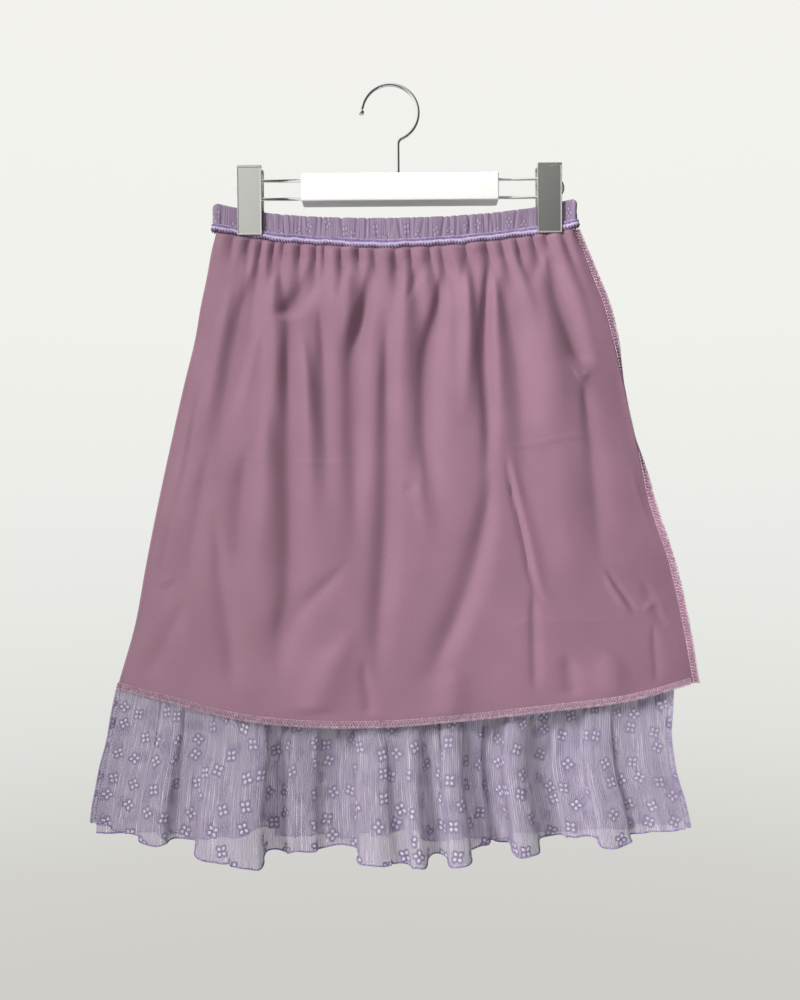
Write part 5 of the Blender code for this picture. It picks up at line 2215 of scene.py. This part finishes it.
@dataclass
class Clip:
    """One spring clip: two plates with raised rims and turned tops, a sprung hinge and dark pads a little
    wider than the plates.
    """

    wardrobe: Wardrobe
    side: str
    x: float
    inward: float
    plate: Triple = (22.5, 1.6, 64.0)
    plate_z: float = -107.0
    hinge: Triple = (13.0, 13.0, 13.6)
    hinge_z: float = -95.6
    jaw_half_gap: float = 5.55
    gap: float = 0.3
    lip: float = 4.0
    lip_height: float = 1.5
    edge: float = 0.45
    rim: float = 0.95
    field_depth: float = 0.3
    square_on: float = 0.99  # the cosine over which a face looks straight out
    flat: float = 0.995
    # A little wider than the plate, so that the dark pad shows beside it.
    pad: Triple = (23.4, 1.9, 21.0)
    pad_z: float = -123.5
    pad_edge: float = 0.5
    pad_gap: float = 0.1
    parts: HingeSizes = HingeSizes()

    def build(self) -> None:
        """Builds plates, pads and hinge."""
        for name, way in (("front", -1), ("back", 1)):
            plate = self.build_plate(way)
            plate.name = plate.data.name = f"clip_{self.side}_{name}_plate"
            dress(plate, self.wardrobe.nickel, [f"clip_{self.side}_{name}"])
            self.highlight_rim(plate, way)
            pad = self.build_pad(way)
            pad.name = pad.data.name = f"clip_{self.side}_{name}_pad"
            dress(pad, self.wardrobe.rubber)
        hinge = self.build_hinge()
        dress(hinge, self.wardrobe.nickel, [f"clip_{self.side}_hinge"])

    def lean(self) -> Pair:
        """The plates' lean in radians, and how far each plate's middle is from the wire's plane."""
        half = self.plate[2] / 2
        rise = self.hinge_z - (self.plate_z - half)
        spread = self.hinge[1] / 2 + self.gap - self.jaw_half_gap
        return math.atan(spread / rise), self.jaw_half_gap + spread * half / rise + self.plate[1] / 2

    def build_plate(self, way: int) -> Piece:
        """A pressed plate: a shallow field inside a rim, and its top edge turned in.

        Args:
            way: -1 for the front, 1 for the back.

        Returns:
            The piece.
        """
        plate = cuboid(self.plate)
        cut = (self.plate[2] / 2 - self.lip_height) * MM
        edit(plate, lambda: bpy.ops.mesh.bisect(plane_co=(0, 0, cut), plane_no=(0, 0, 1)))
        turn = {"value": (0, self.lip * MM, 0)}
        edit_picked(
            plate,
            lambda centre, normal: normal.y > self.square_on and centre.z > cut,
            lambda: bpy.ops.mesh.extrude_region_move(TRANSFORM_OT_translate=turn),
        )
        bevelled(plate, self.edge, 3)
        edit_picked(
            plate,
            lambda centre, normal: normal.y < -self.square_on and abs(centre.z) < cut / 2,
            lambda: bpy.ops.mesh.inset(thickness=self.rim * MM, depth=-self.field_depth * MM),
        )
        angle, offset = self.lean()
        if way > 0:
            plate.rotation_euler.z = math.pi
            bpy.ops.object.transform_apply(rotation=True)
        plate.rotation_euler.x = -way * angle
        plate.location = (self.x * MM, way * offset * MM, self.plate_z * MM)
        bpy.ops.object.transform_apply(location=True, rotation=True)
        edit(plate, face_outwards)
        shade_smooth_to(12)
        return plate

    def highlight_rim(self, plate: Piece, way: int) -> None:
        """Gives all but the plate's flat field the lighter, rougher plating that paints a highlight along its
        rim.
        """
        plate.data.materials.append(self.wardrobe.polished)
        for face in plate.data.polygons:
            face.material_index = 0 if way * face.normal.y > self.flat else 1

    def build_pad(self, way: int) -> Piece:
        """The dark pad inside a plate's lower end, a little wider than the plate, so that it shows as a dark
        line beside it.

        Args:
            way: -1 for the front, 1 for the back.

        Returns:
            The piece.
        """
        angle, offset = self.lean()
        pad = cuboid(self.pad)
        bevelled(pad, self.pad_edge, 2)
        drop = self.plate_z - self.pad_z
        inner = offset - self.plate[1] / 2 - drop * math.tan(angle) - self.pad[1] / 2 - self.pad_gap
        pad.rotation_euler.x = -way * angle
        pad.location = (self.x * MM, way * inner * MM, self.pad_z * MM)
        bpy.ops.object.transform_apply(location=True, rotation=True)
        shade_smooth_to(35)
        return pad

    def build_hinge(self) -> Piece:
        """Two ears, the pin through them and the coil spring round the pin."""
        sizes, middle, half = self.parts, self.x + self.inward, self.hinge[0] / 2
        pieces = []
        for end in (-1, 1):
            deselect_all()
            bpy.ops.mesh.primitive_cylinder_add(
                vertices=40,
                radius=sizes.ear_radius * MM,
                depth=sizes.ear_wall * MM,
                location=Vector((middle + end * (half - sizes.ear_wall / 2), 0.0, self.hinge_z)) * MM,
                rotation=(0, math.pi / 2, 0),
            )
            ear = bpy.context.active_object
            bpy.ops.object.transform_apply(location=True, rotation=True)
            bevelled(ear, sizes.ear_edge, 2)
            pieces.append(ear)
        reach = half + sizes.pin_reach
        spots = np.linspace(middle - reach, middle + reach, len(sizes.pin_radii))
        pin = np.array([(x, 0.0, self.hinge_z) for x in spots])
        pieces.append(tube("pin", pin, np.array(sizes.pin_radii), 20))
        sweep = np.linspace(0.0, sizes.coil_turns * 2 * math.pi, sizes.coil_turns * sizes.coil_steps)
        x = middle + np.linspace(sizes.coil_inset - half, half - sizes.coil_inset, len(sweep))
        y, z = sizes.coil_radius * np.cos(sweep), self.hinge_z + sizes.coil_radius * np.sin(sweep)
        pieces.append(tube("spring", np.stack([x, y, z], axis=1), sizes.coil_wire / 2, 8))
        hinge = join(f"clip_{self.side}_hinge_sprung", pieces)
        shade_smooth_to(35)
        return hinge


class Lamp(NamedTuple):
    """A square soft light that points at a target, and a grid narrows it to a spread in degrees."""

    name: str
    place: Triple
    target: Triple
    size: float
    power: float
    spread: float = 180.0


LAMPS = tabled(
    Lamp,
    ("key_window", (-2300, -3000, 1500), (1700, 0, -800), 1200, 28.5, 44.0),
    ("fill_right", (1500, -1700, -650), (160, 0, -400), 900, 9.5),
    ("back_soft", (900, 2400, 900), (0, 0, -380), 1800, 52.0),
)


@dataclass
class Studio:
    """The camera, soft lights, pale surroundings and pale floor."""

    camera_place: Triple = (6.6, -800.0, -384.7)
    camera_roll: float = 0.47
    long_side_pixels: float = 1000.0
    focal_pixels: float = 860.0
    sensor: float = 36.0
    floor_z: float = -1600.0
    floor_radius: float = 1150.0
    backdrop: tuple[tuple[float, str], ...] = (
        (0.0, "#D0CDC8"), (0.1, "#D3D2CE"), (0.23, "#E0E1DC"), (0.36, "#E7E8E3"),
        (0.5, "#ECECE8"), (0.7, "#F1F1EC"), (1.0, "#F3F2EE"),
    )
    backdrop_reach: float = 0.46
    upper: str = "#F3F2EE"
    window: Triple = (-0.80, -0.10, 0.60)
    window_glow: tuple[float, float, float, float] = (0.04, 0.62, 0.05, 0.72)
    wall_glow: tuple[float, float, float, float] = (0.1, 0.7, 0.0, 0.3)
    mirrored_gain: float = 0.65  # the room looks brighter in plating

    def build(self) -> None:
        """Builds all of it."""
        scene = bpy.context.scene
        scene.view_settings.view_transform = "Standard"
        self.build_camera(scene)
        self.build_world(scene)
        for lamp in LAMPS:
            self.hang(lamp)
        self.build_floor()

    def build_camera(self, scene: bpy.types.Scene) -> None:
        """The camera, level with the skirt's middle and square to it.

        Args:
            scene: the scene.
        """
        data = bpy.data.cameras.new("camera")
        data.sensor_width = self.sensor
        data.lens = self.focal_pixels / self.long_side_pixels * self.sensor
        camera = bpy.data.objects.new("camera", data)
        camera.location = Vector(self.camera_place) * MM
        camera.rotation_euler = (math.pi / 2, math.radians(self.camera_roll), 0.0)
        scene.collection.objects.link(camera)
        scene.camera = camera

    def build_world(self, scene: bpy.types.Scene) -> None:
        """A pale room: what is seen is brighter above, and what lights is brighter to the upper left.

        Args:
            scene: the scene.
        """
        world = bpy.data.worlds.new("pale_room")
        world.use_nodes = True
        scene.world = world
        tree = world.node_tree
        tree.nodes.clear()
        way = add_node(tree, "TexCoord").outputs["Generated"]
        parts = add_node(tree, "SeparateXYZ", {0: way}).outputs
        height = remap(tree, parts["Z"], -self.backdrop_reach, self.backdrop_reach)
        seen = add_node(tree, "ValToRGB", {"Fac": height})
        stops = seen.color_ramp.elements
        stops[0].color, stops[1].color = linear(self.backdrop[0][1]), linear(self.backdrop[-1][1])
        for place, code in self.backdrop[1:-1]:
            stops.new(place).color = linear(code)
        tilt = vector_maths(tree, "DOT_PRODUCT", way, self.window).outputs["Value"]
        window, wall = remap(tree, tilt, *self.window_glow), remap(tree, parts["Y"], *self.wall_glow)
        rays = add_node(tree, "LightPath").outputs
        gain = maths(tree, "MULTIPLY_ADD", rays["Is Glossy Ray"], self.mirrored_gain, 1.0)
        power = maths(tree, "MULTIPLY", maths(tree, "MAXIMUM", window, wall), gain)
        sky = add_node(tree, "Background", {"Color": seen.outputs["Color"]})
        lit = add_node(tree, "Background", {"Color": linear(self.upper), "Strength": power})
        ways = {"Fac": rays["Is Camera Ray"], 1: lit.outputs[0], 2: sky.outputs[0]}
        mixed = add_node(tree, "MixShader", ways)
        add_node(tree, "OutputWorld", {"Surface": mixed.outputs[0]})

    def hang(self, lamp: Lamp) -> None:
        """Hangs a lamp, unseen in mirrors.

        Args:
            lamp: the lamp.
        """
        data = bpy.data.lights.new(lamp.name, "AREA")
        data.spread = math.radians(lamp.spread)
        data.size = lamp.size * MM
        data.energy = lamp.power
        light = bpy.data.objects.new(lamp.name, data)
        light.location = Vector(lamp.place) * MM
        light.visible_glossy = False
        aim = Vector(lamp.target) - Vector(lamp.place)
        light.rotation_euler = aim.to_track_quat("-Z", "Y").to_euler()
        bpy.context.scene.collection.objects.link(light)

    def build_floor(self) -> None:
        """A round pale floor, below the view."""
        deselect_all()
        bpy.ops.mesh.primitive_circle_add(
            vertices=96, radius=self.floor_radius * MM, fill_type="NGON", location=(0, 0, self.floor_z * MM)
        )
        floor = bpy.context.active_object
        floor.name = floor.data.name = "floor"
        bpy.ops.object.transform_apply(location=True)
        floor.data.materials.append(MouldedSurface("painted_floor", "#E4E3DF", 0.6, 0.4).make())


def main() -> None:
    """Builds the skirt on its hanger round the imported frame."""
    logging.basicConfig(level=logging.INFO, format="%(name)s: %(message)s")
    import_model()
    Studio().build()
    form = SkirtForm()
    places = ClothPlaces(form)
    wardrobe = Wardrobe()
    overlock = Overlock(Stitcher())
    Lining(places, wardrobe, overlock).build()
    OuterPanels(places, wardrobe).build()
    Ruffle(places, wardrobe, overlock).build()
    Waist(places, wardrobe, overlock).build()
    Hanger(wardrobe).build()
    Clip(wardrobe, "left", form.clip_centres[0], 3.5).build()
    Clip(wardrobe, "right", form.clip_centres[1], -3.5).build()
    bpy.context.view_layer.update()


if __name__ == "__main__":
    main()
